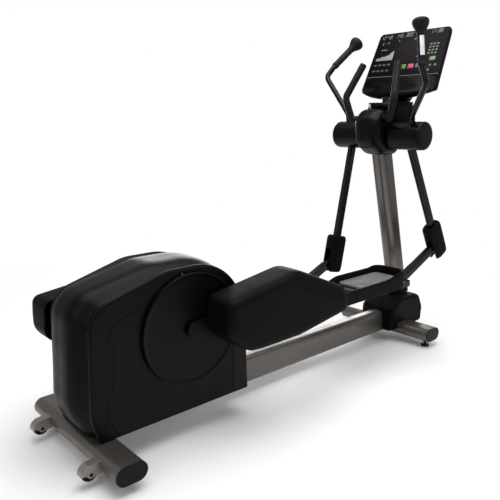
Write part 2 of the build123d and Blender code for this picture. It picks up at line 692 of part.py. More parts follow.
def lever_tube(side):
    """Steel lever: rear bearing eye, beam under the pedal and link up to the front pin."""
    sign = SIDES[side]
    px, pz = REAR_PIN
    rear = rear_beam(sign)
    eye = rod(33, px, pz, sign * 192, sign * 232)
    under = block(-850, -318, sign * 120, sign * 228, BEAM_BOTTOM, BEAM_TOP)
    under = fillet(under.edges().filter_by(Axis.Z), 12)
    under += block(-940, -800, sign * 194, sign * 228, BEAM_BOTTOM, BEAM_TOP)
    tip = rod(21, 0, 0, sign * LINK_Y0, sign * LINK_Y1)
    lever = rear + eye + under + link_bar(sign) - lever_hollow(sign) + tip
    lever -= rod(12.1, px, pz, sign * 180, sign * 240)
    lever -= rod(10 + FIT, 0, 0, sign * 140, sign * 190)
    return in_lever(side, lever)


def cover_profile(inset=0.0):
    x, z = REAR_X - FRONT_PIN_R[0], -FRONT_PIN_R[1]
    shape = outline([(x + 410, z + 543), (x + 765, z + 600), (x + 1055, z + 476), (x + 1057, z + 374),
                     (x + 770, z + 331), (x + 520, z + 328), (x + 408, z + 415)],
                    [34, 110, 26, 26, 150, 50, 55])
    return offset(shape, -inset) if inset else shape


def lever_cover(side):
    """Moulded cover over the rear of the lever, open towards the machine."""
    sign = SIDES[side]
    body = across(cover_profile(), sign * COVER_Y0, sign * COVER_Y1)
    body = fillet(side_edges(body, sign * COVER_Y1), 22)
    hollow = across(cover_profile(5), sign * (COVER_Y0 - 1), sign * (COVER_Y1 - 5))
    body -= fillet(side_edges(hollow, sign * (COVER_Y1 - 5)), 17)
    body -= rear_beam(sign, 1.5) + block(-960, -880, sign * (COVER_Y0 - 5), sign * 231, -160, -112)
    return in_lever(side, largest(body))


def pedal_tray(side):
    """Foot tray with a raised toe rim and a skirt back to the cover."""
    sign = SIDES[side]
    x0, x1 = TRAY_X0, TRAY_X1
    centre = Pos((x0 + x1) / 2, sign * (PEDAL_Y0 + PEDAL_Y1) / 2)
    length, width = x1 - x0, PEDAL_Y1 - PEDAL_Y0
    plan = centre * RectangleRounded(length, width, 34)
    tray = Pos(0, 0, TRAY_LOW) * extrude(plan, amount=TRAY_RIM - TRAY_LOW)
    toe = outline([(x1 - 170, TRAY_RIM - 1), (x1 + 1, TRAY_RIM - 1), (x1 + 1, TRAY_RIM + 24),
                   (x1 - 40, TRAY_RIM + 24)], [0, 0, 0, 60])
    tray += across(toe, sign * PEDAL_Y0, sign * PEDAL_Y1) & (Pos(0, 0, -120) * extrude(plan, amount=80))
    inner = Pos(-2, 0) * centre * RectangleRounded(length - 42, width - 28, 22)
    tray -= Pos(0, 0, TRAY_FLOOR) * extrude(inner, amount=80)
    skirt = outline([(-905, TRAY_LOW), (x0 + 40, TRAY_LOW), (x0 + 40, -97), (x0 + 6, -97), (-905, -118)],
                    [0, 0, 0, 0, 12])
    tray += across(skirt, sign * 160, sign * PEDAL_Y1)
    tray -= block(-945, -310, sign * 119, sign * 229, -159, BEAM_TOP + 0.1) + rear_beam(sign, 0.5)
    under = centre * RectangleRounded(length - 10, width - 10, 29)
    tray -= Pos(0, 0, TRAY_LOW - 1) * extrude(under, amount=BEAM_TOP - TRAY_LOW + 1)
    for x in (-772, -728):
        tray -= rod(5, x, -135, sign * (PEDAL_Y1 - 3), sign * (PEDAL_Y1 + 2))
    return in_lever(side, largest(tray))


def pedal_pad(side):
    """Textured insert on the tray's floor."""
    sign = SIDES[side]
    plan = Pos((PAD_X0 + PAD_X1) / 2, sign * (PAD_Y0 + PAD_Y1) / 2) * RectangleRounded(
        PAD_X1 - PAD_X0, PAD_Y1 - PAD_Y0, 20)
    return in_lever(side, Pos(0, 0, TRAY_FLOOR) * extrude(plan, amount=PAD_TOP - TRAY_FLOOR))


# ---------------------------------------------------------------- console
def console_outline(inset=0.0):
    """Trapezium of the console's face; drawn with x across and y up."""
    half0, half1 = CONSOLE_BOTTOM / 2, CONSOLE_TOP / 2
    shape = outline([(-half0, 0), (half0, 0), (half1, CONSOLE_H), (-half1, CONSOLE_H)], [22, 22, 22, 22])
    return offset(shape, -inset) if inset else shape


def behind(sketch, x0, x1):
    """Extrude a console sketch from depth x0 to depth x1."""
    plane = Plane((x0, 0, 0), x_dir=(0, 1, 0), z_dir=(1, 0, 0))
    return extrude(plane * sketch, amount=x1 - x0)


def key_sketch(name, grow=0.0):
    y, z, w, h = KEYS[name]
    return Pos(y, z) * RectangleRounded(w + 2 * grow, h + 2 * grow, 5 + grow)


def console_face():
    face = behind(console_outline(), 0, 5)
    face = fillet(face.edges().group_by(Axis.X)[0], 2)
    for name in KEYS:
        face -= behind(key_sketch(name, 0.5), -1, 6)
    return in_console(face)


def console_back():
    body = behind(console_outline(3), 5, 50)
    body = fillet(body.edges().group_by(Axis.X)[-1], 16)
    body -= behind(console_outline(7), 4, 45)
    return in_console(body)


def reading_rack():
    """Curved ledge under the display, bellied below it, that a book or tablet stands on."""
    ledge = outline([(0, 84), (0, -3), (12, -3), (12, -20), (-15, -33), (-36, -30), (-37, -14),
                     (-14, 24), (-4, 84)], [0, 0, 0, 8, 8, 8, 6, 30, 0])
    return in_console(across(Pos(-0.01, 0) * ledge, -170, 170))


def console_key(name):
    return in_console(behind(key_sketch(name), -3, 4))


# ---------------------------------------------------------------- write the nodes
def main():
    save(main_rail(), "main_rail")
    save(stabiliser(REAR_X, REAR_HALF), "rear_stabiliser")
    save(stabiliser(FRONT_X, FRONT_HALF), "front_stabiliser")
    save(stabiliser_caps(), "stabiliser_caps")
    save(levelling_feet(), "levelling_feet")
    save(group(wheel_bracket(1), wheel_bracket(-1)), "wheel_brackets")
    save(wheel_axles(), "wheel_axles")
    save(mast(), "mast")
    save(base_cover(), "base_cover")
    save(mast_collar(), "mast_collar")
    save(crank_carrier(), "crank_carrier")
    save(crank_bearings(), "crank_bearings")
    save(crank_axle(), "crank_axle")
    save(drive_pulley(), "drive_pulley")
    save(belt((CRANK_X, CRANK_Z), PULLEY_R, (MID_X, MID_Z), SMALL_PULLEY_R, 101.5, 114.5), "drive_belt")
    save(belt((MID_X, MID_Z), SECOND_R, (ROTOR_X, ROTOR_Z), ROTOR_R, -76.5, -63.5), "alternator_belt")
    save(intermediate_pulley(), "intermediate_pulley")
    save(alternator_rotor(), "alternator_rotor")
    save(alternator_housing(), "alternator_housing")
    save(crank_discs(), "crank_discs")
    save(crank_arms(), "crank_arms")
    save(crank_pins(), "crank_pins")
    skin = shroud_skin()
    save(shroud_shell(skin), "shroud_shell")
    save(shroud_front_cap(skin), "shroud_front_cap")
    save(shroud_sides(), "shroud_sides")
    save(pivot_shaft(), "pivot_shaft")
    save(arm_bushes(), "arm_bushes")
    save(head_cover(), "head_cover")
    save(accessory_tray(), "accessory_tray")
    save(console_neck(), "console_neck")
    save(fixed_handles(), "fixed_handles")
    save(console_face(), "console_face")
    save(console_back(), "console_back")
    save(reading_rack(), "reading_rack")
    for name in KEYS:
        save(console_key(name), name)
    for side, sign in SIDES.items():
        save(transport_wheel(sign), f"transport_wheel_{side}")
        save(arm_tube(side), f"arm_tube_{side}")
        save(handle_tube(side), f"handle_tube_{side}")
        save(grip(side), f"grip_{side}")
        save(pulse_sensor(side), f"pulse_sensor_{side}")
        save(hub_cover(side), f"hub_cover_{side}")
        save(boot(side), f"boot_{side}")
        save(lever_tube(side), f"lever_tube_{side}")
        save(lever_cover(side), f"lever_cover_{side}")
        save(pedal_tray(side), f"pedal_tray_{side}")
        save(pedal_pad(side), f"pedal_pad_{side}")


main()
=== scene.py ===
"""Looks of the rear-drive elliptical trainer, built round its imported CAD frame.

Metres, +X forward to the console, +Y left, +Z up.  Pivots and pins come from the frame's joints, and most
places along the machine from its boxes.  The rest is drawn from the frame's origin and the floor.
"""
import json
import math

import bmesh
import bpy
from mathutils import Matrix, Vector, noise


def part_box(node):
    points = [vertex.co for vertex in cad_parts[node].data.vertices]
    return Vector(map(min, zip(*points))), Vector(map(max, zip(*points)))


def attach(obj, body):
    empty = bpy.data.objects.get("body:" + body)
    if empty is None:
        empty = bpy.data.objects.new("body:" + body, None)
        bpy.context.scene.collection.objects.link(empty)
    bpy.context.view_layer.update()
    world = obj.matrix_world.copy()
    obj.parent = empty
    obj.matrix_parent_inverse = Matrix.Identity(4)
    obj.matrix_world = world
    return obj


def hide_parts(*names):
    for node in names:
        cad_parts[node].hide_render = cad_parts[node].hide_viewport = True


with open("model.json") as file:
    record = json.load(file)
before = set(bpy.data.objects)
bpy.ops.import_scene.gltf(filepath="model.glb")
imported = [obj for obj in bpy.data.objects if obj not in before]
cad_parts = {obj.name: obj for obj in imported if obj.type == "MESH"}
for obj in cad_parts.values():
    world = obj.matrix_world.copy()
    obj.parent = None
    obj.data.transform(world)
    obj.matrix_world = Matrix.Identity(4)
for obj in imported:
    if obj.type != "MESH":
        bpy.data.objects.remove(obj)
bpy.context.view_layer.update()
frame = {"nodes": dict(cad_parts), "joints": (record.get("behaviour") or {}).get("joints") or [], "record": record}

NODES = frame["nodes"]
JOINTS = {joint["name"]: joint for joint in frame["joints"]}
RATIOS = {c["joint"]: c["ratio"] for c in frame["record"]["behaviour"]["couplings"]}
SIDES = {"left": 1, "right": -1}

# ---------------------------------------------------------------- places taken from the frame
PIVOT = Vector(JOINTS["right_arm_swing"]["pos_m"])
CRANK = Vector(JOINTS["crank_spin"]["pos_m"])
PINS = {side: Vector(JOINTS[f"{side}_lever_pivot"]["pos_m"]) for side in SIDES}
SWING = math.radians(JOINTS["right_arm_swing"]["range_deg"][1])
LEVER_TURN = SWING * (1 + RATIOS["right_lever_pivot"])
ARM_LEN = (PINS["right"] - PIVOT).length
REAR_X = sum(corner.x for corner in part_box("rear_stabiliser")) / 2
KEY_AXIS = Vector(JOINTS["start_press"]["axis"])
TILT = math.atan2(-KEY_AXIS.z, KEY_AXIS.x)
FACE_THICK = 0.005
FACE_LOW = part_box("console_face")[0]


def about_y(place, angle):
    return Matrix.Translation(place) @ Matrix.Rotation(angle, 4, "Y")


def arm_place(side):
    """From a plumb arm with its pivot at the origin to where it stands at rest."""
    reach = PINS[side] - PIVOT
    return about_y(PIVOT, -math.atan2(reach.x, -reach.z))


def lever_place(side):
    """From the front pin's frame, in the right lever's slope, to where the lever lies at rest."""
    return about_y(PINS[side], LEVER_TURN if side == "left" else 0.0)


CONSOLE = about_y(Vector((FACE_LOW.x, 0, FACE_LOW.z + FACE_THICK * math.sin(TILT))), TILT)


# ---------------------------------------------------------------- mesh helpers
MIRROR_Y = Matrix.Scale(-1, 4, Vector((0, 1, 0)))
THROUGH = 0.3              # half-length of a cutter that passes right through a moulding


def clamped(value):
    return min(1.0, max(0.0, value))


def eased(height, share):
    """Part of a height that a smooth step has reached."""
    return height * share * share * (3 - 2 * share)


def arc_points(x, z, radius, angles):
    """Points on an arc about (x, z) in the side view."""
    return [Vector((x + radius * math.cos(a), z + radius * math.sin(a))) for a in angles]


def offset(points, x, z=0.0):
    return [(x + u, z + v) for u, v in points]


class Outline:
    """Closed polygon with rounded corners; any inset gives a ring with matching points."""

    def __init__(self, points, radii, arc=8, run=0.03, runs=None):
        self.points = [Vector(p) for p in points]
        self.radii = radii
        self.arc = arc
        count = len(points)
        area = sum(self.points[i].cross(self.points[(i + 1) % count]) for i in range(count))
        self.inward = 1.0 if area > 0 else -1.0
        self.runs = runs or [max(1, round((self.points[(i + 1) % count] - p).length / run))
                             for i, p in enumerate(self.points)]

    def ring(self, inset=0.0):
        count = len(self.points)
        sides = []
        for i, point in enumerate(self.points):
            along = (self.points[(i + 1) % count] - point).normalized()
            sides.append((point + inset * self.inward * Vector((-along.y, along.x)), along))
        corners = []
        for i in range(count):
            (a, u), (b, v) = sides[i - 1], sides[i]
            cross = u.cross(v)
            step = (b - a).cross(v) / cross if abs(cross) > 1e-9 else 0.0
            corners.append(a + u * step if abs(cross) > 1e-9 else b)
        arcs = []
        for i, corner in enumerate(corners):
            u, v = sides[i - 1][1], sides[i][1]
            turn = math.atan2(u.cross(v), u.dot(v))
            sign = 1.0 if turn * self.inward > 0 else -1.0
            radius = max(self.radii[i] - sign * inset, 0.0004)
            back = radius * math.tan(abs(turn) / 2)
            start = corner - u * back
            side = 1.0 if turn > 0 else -1.0
            centre = start + radius * side * Vector((-u.y, u.x))
            spoke = start - centre
            arc = []
            for k in range(self.arc + 1):
                angle = turn * k / self.arc
                c, s = math.cos(angle), math.sin(angle)
                arc.append(centre + Vector((c * spoke.x - s * spoke.y, s * spoke.x + c * spoke.y)))
            arcs.append(arc)
        ring = []
        for i, arc in enumerate(arcs):
            ring.extend(arc)
            start, end = arc[-1], arcs[(i + 1) % count][0]
            ring.extend(start.lerp(end, k / self.runs[i]) for k in range(1, self.runs[i]))
        return ring


def rectangle(width, height, radius, centre=(0.0, 0.0), arc=8, run=0.05):
    x, y = centre
    w, h = width / 2, height / 2
    return Outline([(x - w, y - h), (x + w, y - h), (x + w, y + h), (x - w, y + h)], [radius] * 4, arc, run)


def to_object(name, bm):
    bmesh.ops.recalc_face_normals(bm, faces=bm.faces)
    mesh = bpy.data.meshes.new(name)
    bm.to_mesh(mesh)
    bm.free()
    obj = bpy.data.objects.new(name, mesh)
    bpy.context.scene.collection.objects.link(obj)
    return obj


def loft(rings):
    """Skin a row of matching rings, with a face over each end."""
    bm = bmesh.new()
    rows = [[bm.verts.new(point) for point in ring] for ring in rings]
    for low, high in zip(rows, rows[1:]):
        for i in range(len(low)):
            j = (i + 1) % len(low)
            bm.faces.new((low[i], low[j], high[j], high[i]))
    bm.faces.new(rows[0])
    bm.faces.new(rows[-1])
    return bm


def lathe(profile, segments, closed=True):
    """Turn a profile of (radius, height) about Z."""
    rings = []
    for k in range(segments):
        angle = 2 * math.pi * k / segments
        rings.append([Vector((r * math.cos(angle), r * math.sin(angle), h)) for r, h in profile])
    bm = bmesh.new()
    rows = [[bm.verts.new(point) for point in ring] for ring in rings]
    span = len(profile) if closed else len(profile) - 1
    for k in range(segments):
        near, far = rows[k], rows[(k + 1) % segments]
        for i in range(span):
            j = (i + 1) % len(profile)
            bm.faces.new((near[i], far[i], far[j], near[j]))
    bmesh.ops.remove_doubles(bm, verts=bm.verts, dist=1e-6)
    bmesh.ops.dissolve_degenerate(bm, edges=bm.edges, dist=1e-6)
    return bm


def tube(points, radii, segments=24):
    """Round bar whose radius varies along a line of points."""
    rings = []
    side = None
    for i, point in enumerate(points):
        ahead = points[min(i + 1, len(points) - 1)] - points[max(i - 1, 0)]
        axis = ahead.normalized()
        side = (side - axis * side.dot(axis)).normalized() if side else axis.orthogonal().normalized()
        other = axis.cross(side)
        rings.append([point + radii[i] * (math.cos(a) * side + math.sin(a) * other)
                      for a in (2 * math.pi * k / segments for k in range(segments))])
    return loft(rings)


def smooth_line(points, per=6):
    """Catmull-Rom line through points of any dimension."""
    points = [Vector(p) for p in points]
    ends = [points[0] * 2 - points[1]] + points + [points[-1] * 2 - points[-2]]
    line = []
    for a, b, c, d in zip(ends, ends[1:], ends[2:], ends[3:]):
        for k in range(per):
            t = k / per
            line.append(0.5 * ((2 * b) + (c - a) * t + (2 * a - 5 * b + 4 * c - d) * t * t
                               + (3 * b - a - 3 * c + d) * t ** 3))
    return line + [points[-1]]


def bake(obj):
    """Replace an object's mesh by what its modifiers make of it."""
    graph = bpy.context.evaluated_depsgraph_get()
    obj.data = bpy.data.meshes.new_from_object(obj.evaluated_get(graph))
    obj.modifiers.clear()
    return obj


def boolean(obj, bm, operation="DIFFERENCE"):
    tool = to_object("tool", bm)
    modifier = obj.modifiers.new("cut", "BOOLEAN")
    modifier.operation = operation
    modifier.solver = "EXACT"
    modifier.object = tool
    bake(obj)
    bpy.data.objects.remove(tool)
    return obj


def soften(obj, width, segments=2, angle=32):
    """Round the edges that a mould or a press would round."""
    modifier = obj.modifiers.new("soften", "BEVEL")
    modifier.width = width
    modifier.segments = segments
    modifier.limit_method = "ANGLE"
    modifier.angle_limit = math.radians(angle)
    modifier.use_clamp_overlap = True
    return bake(obj)


def shade(obj, angle=35):
    """Smooth shading that breaks at sharp edges and keeps flat faces flat."""
    bm = bmesh.new()
    bm.from_mesh(obj.data)
    for face in bm.faces:
        face.smooth = True
    for edge in bm.edges:
        edge.smooth = len(edge.link_faces) == 2 and edge.calc_face_angle(0.0) < math.radians(angle)
    bm.to_mesh(obj.data)
    bm.free()
    modifier = obj.modifiers.new("normals", "WEIGHTED_NORMAL")
    modifier.keep_sharp = True
    return obj


def box_mesh(low, high):
    bm = bmesh.new()
    bmesh.ops.create_cube(bm, size=1.0)
    low, high = Vector(low), Vector(high)
    for vert in bm.verts:
        vert.co = Vector((low[i] + (vert.co[i] + 0.5) * (high[i] - low[i]) for i in range(3)))
    return bm


def in_xz(ring, y):
    return [Vector((p.x, y, p.y)) for p in ring]


def in_xy(ring, z):
    return [Vector((p.x, p.y, z)) for p in ring]


def side_loft(outline, steps, sign=1):
    """Skin a side view across the machine, through steps of (distance from the middle, inset)."""
    return loft([in_xz(outline.ring(inset), sign * y) for y, inset in steps])


def plan_loft(outline, steps):
    """Skin a plan upwards, through steps of (height, inset)."""
    return loft([in_xy(outline.ring(inset), z) for z, inset in steps])


def both_sides(half):
    """Steps from one side to the other, from those that run from the middle outwards."""
    return [(-y, inset) for y, inset in reversed(half[1:])] + [(y, inset) for y, inset in half]


def prism(outline):
    """Straight prism right through the machine."""
    return side_loft(outline, ((-THROUGH, 0.0), (THROUGH, 0.0)))


def join(name, parts):
    """One object from several meshes."""
    bm = bmesh.new()
    for part in parts:
        mesh = bpy.data.meshes.new("part")
        bmesh.ops.recalc_face_normals(part, faces=part.faces)
        part.to_mesh(mesh)
        part.free()
        bm.from_mesh(mesh)
        bpy.data.meshes.remove(mesh)
    mesh = bpy.data.meshes.new(name)
    bm.to_mesh(mesh)
    bm.free()
    obj = bpy.data.objects.new(name, mesh)
    bpy.context.scene.collection.objects.link(obj)
    return obj


def moved(bm, matrix):
    bmesh.ops.transform(bm, matrix=matrix, verts=bm.verts)
    return bm


def put(bm, place):
    return moved(bm, Matrix.Translation(place))


def turned_y(bm):
    """Turn a lathed piece so that its axis lies along +Y."""
    return moved(bm, Matrix.Rotation(-math.pi / 2, 4, "X"))


def to_side(bm, sign):
    """Mirror a left-hand mesh when it goes on the right."""
    return moved(bm, MIRROR_Y) if sign < 0 else bm


def object_to_side(obj, sign):
    """Mirror a finished left-hand object when it goes on the right."""
    if sign < 0:
        obj.data.transform(MIRROR_Y)
        obj.data.flip_normals()


def piece(obj, body, material, nodes=(), place=None, angle=35):
    """Give a finished mesh its material, its place, its body and the CAD nodes that it stands for."""
    if place is not None:
        obj.data.transform(place)
    shade(obj, angle)
    obj.data.materials.clear()
    obj.data.materials.append(material)
    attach(obj, body)
    if nodes:
        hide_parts(*nodes)
    return obj


# ---------------------------------------------------------------- materials
class Nodes:
    """Node tree of one material, with the links this script needs."""

    def __init__(self, name):
        self.material = bpy.data.materials.new(name)
        self.material.use_nodes = True
        self.tree = self.material.node_tree
        self.shader = self.tree.nodes["Principled BSDF"]
        self.where = self.add("ShaderNodeTexCoord").outputs["Object"]

    def add(self, kind, **values):
        node = self.tree.nodes.new(kind)
        for key, value in values.items():
            if hasattr(node, key):
                setattr(node, key, value)
        return node

    def link(self, source, target):
        self.tree.links.new(source, target)

    def stretched(self, scale):
        node = self.add("ShaderNodeMapping")
        node.inputs["Scale"].default_value = scale
        self.link(self.where, node.inputs["Vector"])
        return node.outputs["Vector"]

    def noise(self, scale, detail=2.0, source=None, rough=0.5):
        node = self.add("ShaderNodeTexNoise")
        node.inputs["Scale"].default_value = scale
        node.inputs["Detail"].default_value = detail
        node.inputs["Roughness"].default_value = rough
        self.link(source or self.where, node.inputs["Vector"])
        return node.outputs["Fac"]

    def ranged(self, source, low, high, start=0.35, end=0.65):
        node = self.add("ShaderNodeMapRange")
        node.inputs["From Min"].default_value = start
        node.inputs["From Max"].default_value = end
        node.inputs["To Min"].default_value = low
        node.inputs["To Max"].default_value = high
        self.link(source, node.inputs["Value"])
        return node.outputs["Result"]

    def mixed(self, factor, first, second):
        """Colour between two colours or sockets."""
        node = self.add("ShaderNodeMix", data_type="RGBA")
        self.link(factor, node.inputs["Factor"])
        for value, name in ((first, "A"), (second, "B")):
            socket = [s for s in node.inputs if s.name == name and s.type == "RGBA"][0]
            if isinstance(value, bpy.types.NodeSocket):
                self.link(value, socket)
            else:
                socket.default_value = (*value, 1.0)
        return [s for s in node.outputs if s.type == "RGBA"][0]

    def maths(self, operation, first, second):
        node = self.add("ShaderNodeMath", operation=operation)
        for value, socket in ((first, node.inputs[0]), (second, node.inputs[1])):
            if isinstance(value, bpy.types.NodeSocket):
                self.link(value, socket)
            else:
                socket.default_value = value
        return node.outputs[0]

    def edges(self, radius):
        """Mask of the edges that hands and cloths polish, from how a rounded normal differs."""
        bevel = self.add("ShaderNodeBevel", samples=4)
        bevel.inputs["Radius"].default_value = radius
        flat = self.add("ShaderNodeNewGeometry")
        dot = self.add("ShaderNodeVectorMath", operation="DOT_PRODUCT")
        self.link(bevel.outputs["Normal"], dot.inputs[0])
        self.link(flat.outputs["Normal"], dot.inputs[1])
        return self.ranged(dot.outputs["Value"], 1.0, 0.0, 0.80, 0.995)

    def bump(self, height, distance):
        node = self.add("ShaderNodeBump")
        node.inputs["Distance"].default_value = distance
        node.inputs["Strength"].default_value = 1.0
        self.link(height, node.inputs["Height"])
        self.link(node.outputs["Normal"], self.shader.inputs["Normal"])

    def set(self, **values):
        for key, value in values.items():
            self.shader.inputs[key.replace("_", " ")].default_value = value


def shifted(colour, amount):
    return tuple(min(1.0, c * amount) for c in colour)


def plastic(name, colour, rough, specular=0.3, grain=1400.0, depth=0.00012, worn=0.25, spread=0.05):
    """Moulded plastic: fine spark-eroded grain, faint handling marks and slightly polished edges."""
    n = Nodes(name)
    cloud = n.noise(5.0, 4.0)
    fine = n.noise(grain, 2.0)
    body = n.mixed(n.ranged(cloud, 0.0, 1.0), shifted(colour, 0.86), shifted(colour, 1.16))
    rubbed = n.maths("MULTIPLY", n.edges(0.0025), n.ranged(n.noise(38.0, 3.0), 0.15, worn))
    n.link(n.mixed(rubbed, body, shifted(colour, 3.2)), n.shader.inputs["Base Color"])
    smear = n.noise(9.0, 5.0, n.stretched((1.0, 0.6, 2.4)), 0.6)
    smear = n.maths("MULTIPLY", smear, n.ranged(fine, 0.9, 1.1))
    n.link(n.ranged(smear, rough - spread, rough + spread, 0.3, 0.7), n.shader.inputs["Roughness"])
    n.bump(fine, depth)
    n.set(Specular_IOR_Level=specular)
    return n.material


def gloss(name, colour, rough=0.16, specular=0.5, coat=0.4):
    """Polished plastic or glass-like panel with hairline wipes and a little orange peel."""
    n = Nodes(name)
    cloud = n.noise(7.0, 3.0)
    n.link(n.mixed(n.ranged(cloud, 0.0, 1.0), shifted(colour, 0.85), shifted(colour, 1.2)),
           n.shader.inputs["Base Color"])
    wipes = n.noise(60.0, 4.0, n.stretched((0.35, 1.0, 1.0)), 0.65)
    n.link(n.ranged(wipes, rough * 0.8, rough * 1.5), n.shader.inputs["Roughness"])
    n.bump(n.noise(240.0, 1.0), 0.00003)
    n.set(Specular_IOR_Level=specular, Coat_Weight=coat, Coat_Roughness=0.08)
    return n.material


def paint(name, colour, rough=0.42, metallic=0.55, flake=0.2):
    """Metallic powder coat: flake, orange peel, and edges rubbed lighter."""
    n = Nodes(name)
    flakes = n.noise(2600.0, 1.0)
    cloud = n.noise(4.0, 3.0)
    base = n.mixed(n.ranged(flakes, 0.0, 1.0, 0.3, 0.7), shifted(colour, 1 - flake),
                   shifted(colour, 1 + flake))
    tint = n.mixed(n.ranged(cloud, 0.0, 0.4), base, shifted(colour, 0.85))
    rubbed = n.maths("MULTIPLY", n.edges(0.002), n.ranged(n.noise(45.0, 3.0), 0.1, 0.45))
    n.link(n.mixed(rubbed, tint, shifted(colour, 1.9)), n.shader.inputs["Base Color"])
    n.link(n.ranged(n.noise(14.0, 4.0), rough - 0.05, rough + 0.06), n.shader.inputs["Roughness"])
    n.bump(n.noise(520.0, 2.0), 0.00006)
    n.set(Metallic=metallic, Specular_IOR_Level=0.5)
    return n.material


def rubber(name, colour, rough=0.62, cells=620.0, depth=0.00025):
    """Moulded rubber: pebbled skin, dusty where it is not touched."""
    n = Nodes(name)
    pebble = n.add("ShaderNodeTexVoronoi", feature="SMOOTH_F1")
    pebble.inputs["Scale"].default_value = cells
    n.link(n.where, pebble.inputs["Vector"])
    dust = n.ranged(n.noise(16.0, 5.0), 0.0, 1.0)
    n.link(n.mixed(dust, shifted(colour, 0.82), shifted(colour, 1.25)), n.shader.inputs["Base Color"])
    n.link(n.ranged(n.noise(30.0, 3.0), rough - 0.07, rough + 0.08), n.shader.inputs["Roughness"])
    n.bump(pebble.outputs["Distance"], depth)
    n.set(Specular_IOR_Level=0.16)
    return n.material


def steel(name, colour=(0.42, 0.41, 0.40), rough=0.28, along=(1.0, 40.0, 1.0)):
    """Turned or brushed metal: fine tool marks and faint staining."""
    n = Nodes(name)
    marks = n.noise(180.0, 3.0, n.stretched(along))
    stain = n.noise(22.0, 4.0)
    n.link(n.mixed(n.ranged(stain, 0.0, 1.0), shifted(colour, 0.8), shifted(colour, 1.12)),
           n.shader.inputs["Base Color"])
    n.link(n.ranged(marks, rough - 0.08, rough + 0.14), n.shader.inputs["Roughness"])
    n.bump(marks, 0.00004)
    n.set(Metallic=1.0)
    return n.material


def lamp(name, colour, strength):
    """Lit key or display element behind a clear skin."""
    n = Nodes(name)
    shine = n.mixed(n.ranged(n.noise(90.0, 2.0), 0.0, 1.0), shifted(colour, 0.8), shifted(colour, 1.15))
    n.link(shine, n.shader.inputs["Base Color"])
    n.link(shine, n.shader.inputs["Emission Color"])
    n.link(n.ranged(n.noise(40.0, 2.0), 0.16, 0.3), n.shader.inputs["Roughness"])
    n.bump(n.noise(700.0, 1.0), 0.00003)
    n.set(Emission_Strength=strength, Coat_Weight=0.5, Coat_Roughness=0.1)
    return n.material


SHROUD = plastic("shroud_black", (0.0020, 0.0020, 0.0020), 0.36, 0.10)
SATIN = plastic("satin_charcoal", (0.0022, 0.0022, 0.0021), 0.54, 0.07)
CAP = plastic("end_cap_grey", (0.0036, 0.0036, 0.0036), 0.42, 0.12)
ARM = gloss("arm_gloss", (0.0028, 0.0028, 0.0028), 0.2, 0.22, 0.06)
HEAD = gloss("head_gloss", (0.0018, 0.0018, 0.0018), 0.26, 0.12, 0.02)
GLASS = gloss("panel_glass", (0.0022, 0.0016, 0.0020), 0.16, 0.06, 0.0)
FRAME = paint("titanium_paint", (0.150, 0.137, 0.126), 0.32, 0.75)
ZINC = paint("bracket_paint", (0.30, 0.27, 0.24), 0.34, 0.7)
RUBBER = rubber("grip_rubber", (0.0068, 0.0068, 0.0066), 0.5)
TREAD = rubber("pedal_rubber", (0.145, 0.145, 0.142), 0.66, 300.0, 0.0005)
FOOT = rubber("foot_rubber", (0.012, 0.012, 0.012), 0.7)
BELT = rubber("belt_rubber", (0.011, 0.011, 0.011), 0.55, 900.0)
STEEL = steel("turned_steel")
RACE = steel("bearing_steel", (0.52, 0.52, 0.52), 0.2)
ALLOY = steel("pulley_alloy", (0.58, 0.58, 0.59), 0.34)
STRIP = steel("sensor_strip", (0.72, 0.72, 0.71), 0.4, (30.0, 1.0, 1.0))
BUSH = plastic("bush_acetal", (0.62, 0.60, 0.52), 0.4, 0.4)
GREEN = lamp("key_green", (0.020, 0.150, 0.008), 0.16)
RED = lamp("key_red", (0.300, 0.003, 0.004), 0.20)
BLUE = lamp("key_blue", (0.006, 0.018, 0.110), 0.16)
LIT = lamp("display_white", (0.20, 0.20, 0.20), 0.25)
DIM = lamp("display_grey", (0.020, 0.018, 0.020), 0.06)
WINDOW = gloss("window_smoke", (0.0050, 0.0034, 0.0045), 0.2, 0.07, 0.0)

BY_SLOT = {"frame_paint": FRAME, "black_shroud": SHROUD, "gloss_black": HEAD, "satin_black": SATIN,
           "end_cap": CAP, "arm_paint": ARM, "rubber": RUBBER, "pedal_rubber": TREAD, "steel": STEEL,
           "bearing": RACE, "bush": BUSH, "pulley": ALLOY, "belt": BELT, "bracket_zinc": ZINC,
           "sensor": STRIP, "console_black": GLASS, "key_green": GREEN, "key_red": RED, "key_blue": BLUE}

# CAD nodes painted black here, whatever their slot says. The crank's pins, axle and arms are painted shade: they
# are made dark so that they read as the shadow beside the lever covers.
SHADE_BLACK = {"crank_pins", "crank_axle", "crank_arms"}
PAINTED_BLACK = {f"{tube_name}_{side}" for tube_name in ("handle_tube", "lever_tube") for side in SIDES}


def dress_cad_nodes():
    for row in frame["record"]["subparts"]:
        node, slot = NODES[row["node"]], row["material_slot"]
        node.data.materials.clear()
        material = ARM if row["node"] in PAINTED_BLACK else BY_SLOT[slot]
        # the crank's pins, axle and arms take the dark shroud plastic here as painted shade
        node.data.materials.append(SHROUD if row["node"] in SHADE_BLACK else material)
        for polygon in node.data.polygons:
            polygon.material_index = 0


# ---------------------------------------------------------------- rear shroud
SHROUD_LOW, SHROUD_HALF, SHROUD_WALL = 0.106, 0.150, 0.005
OPENING_R = 0.2092         # of the opening that the crank disc fills
CAP_SEAM_X, CAP_SEAM_Z, CAP_GAP = REAR_X + 0.556, 0.400, 0.0016
RAIL_GAP = 0.002           # round the rail, where it leaves the shroud
FAR, WIDE, HIGH = 3, 1, 2  # reach of the boxes that cut everything beyond a plane
SHROUD_FRONT = CRANK.x + 0.292
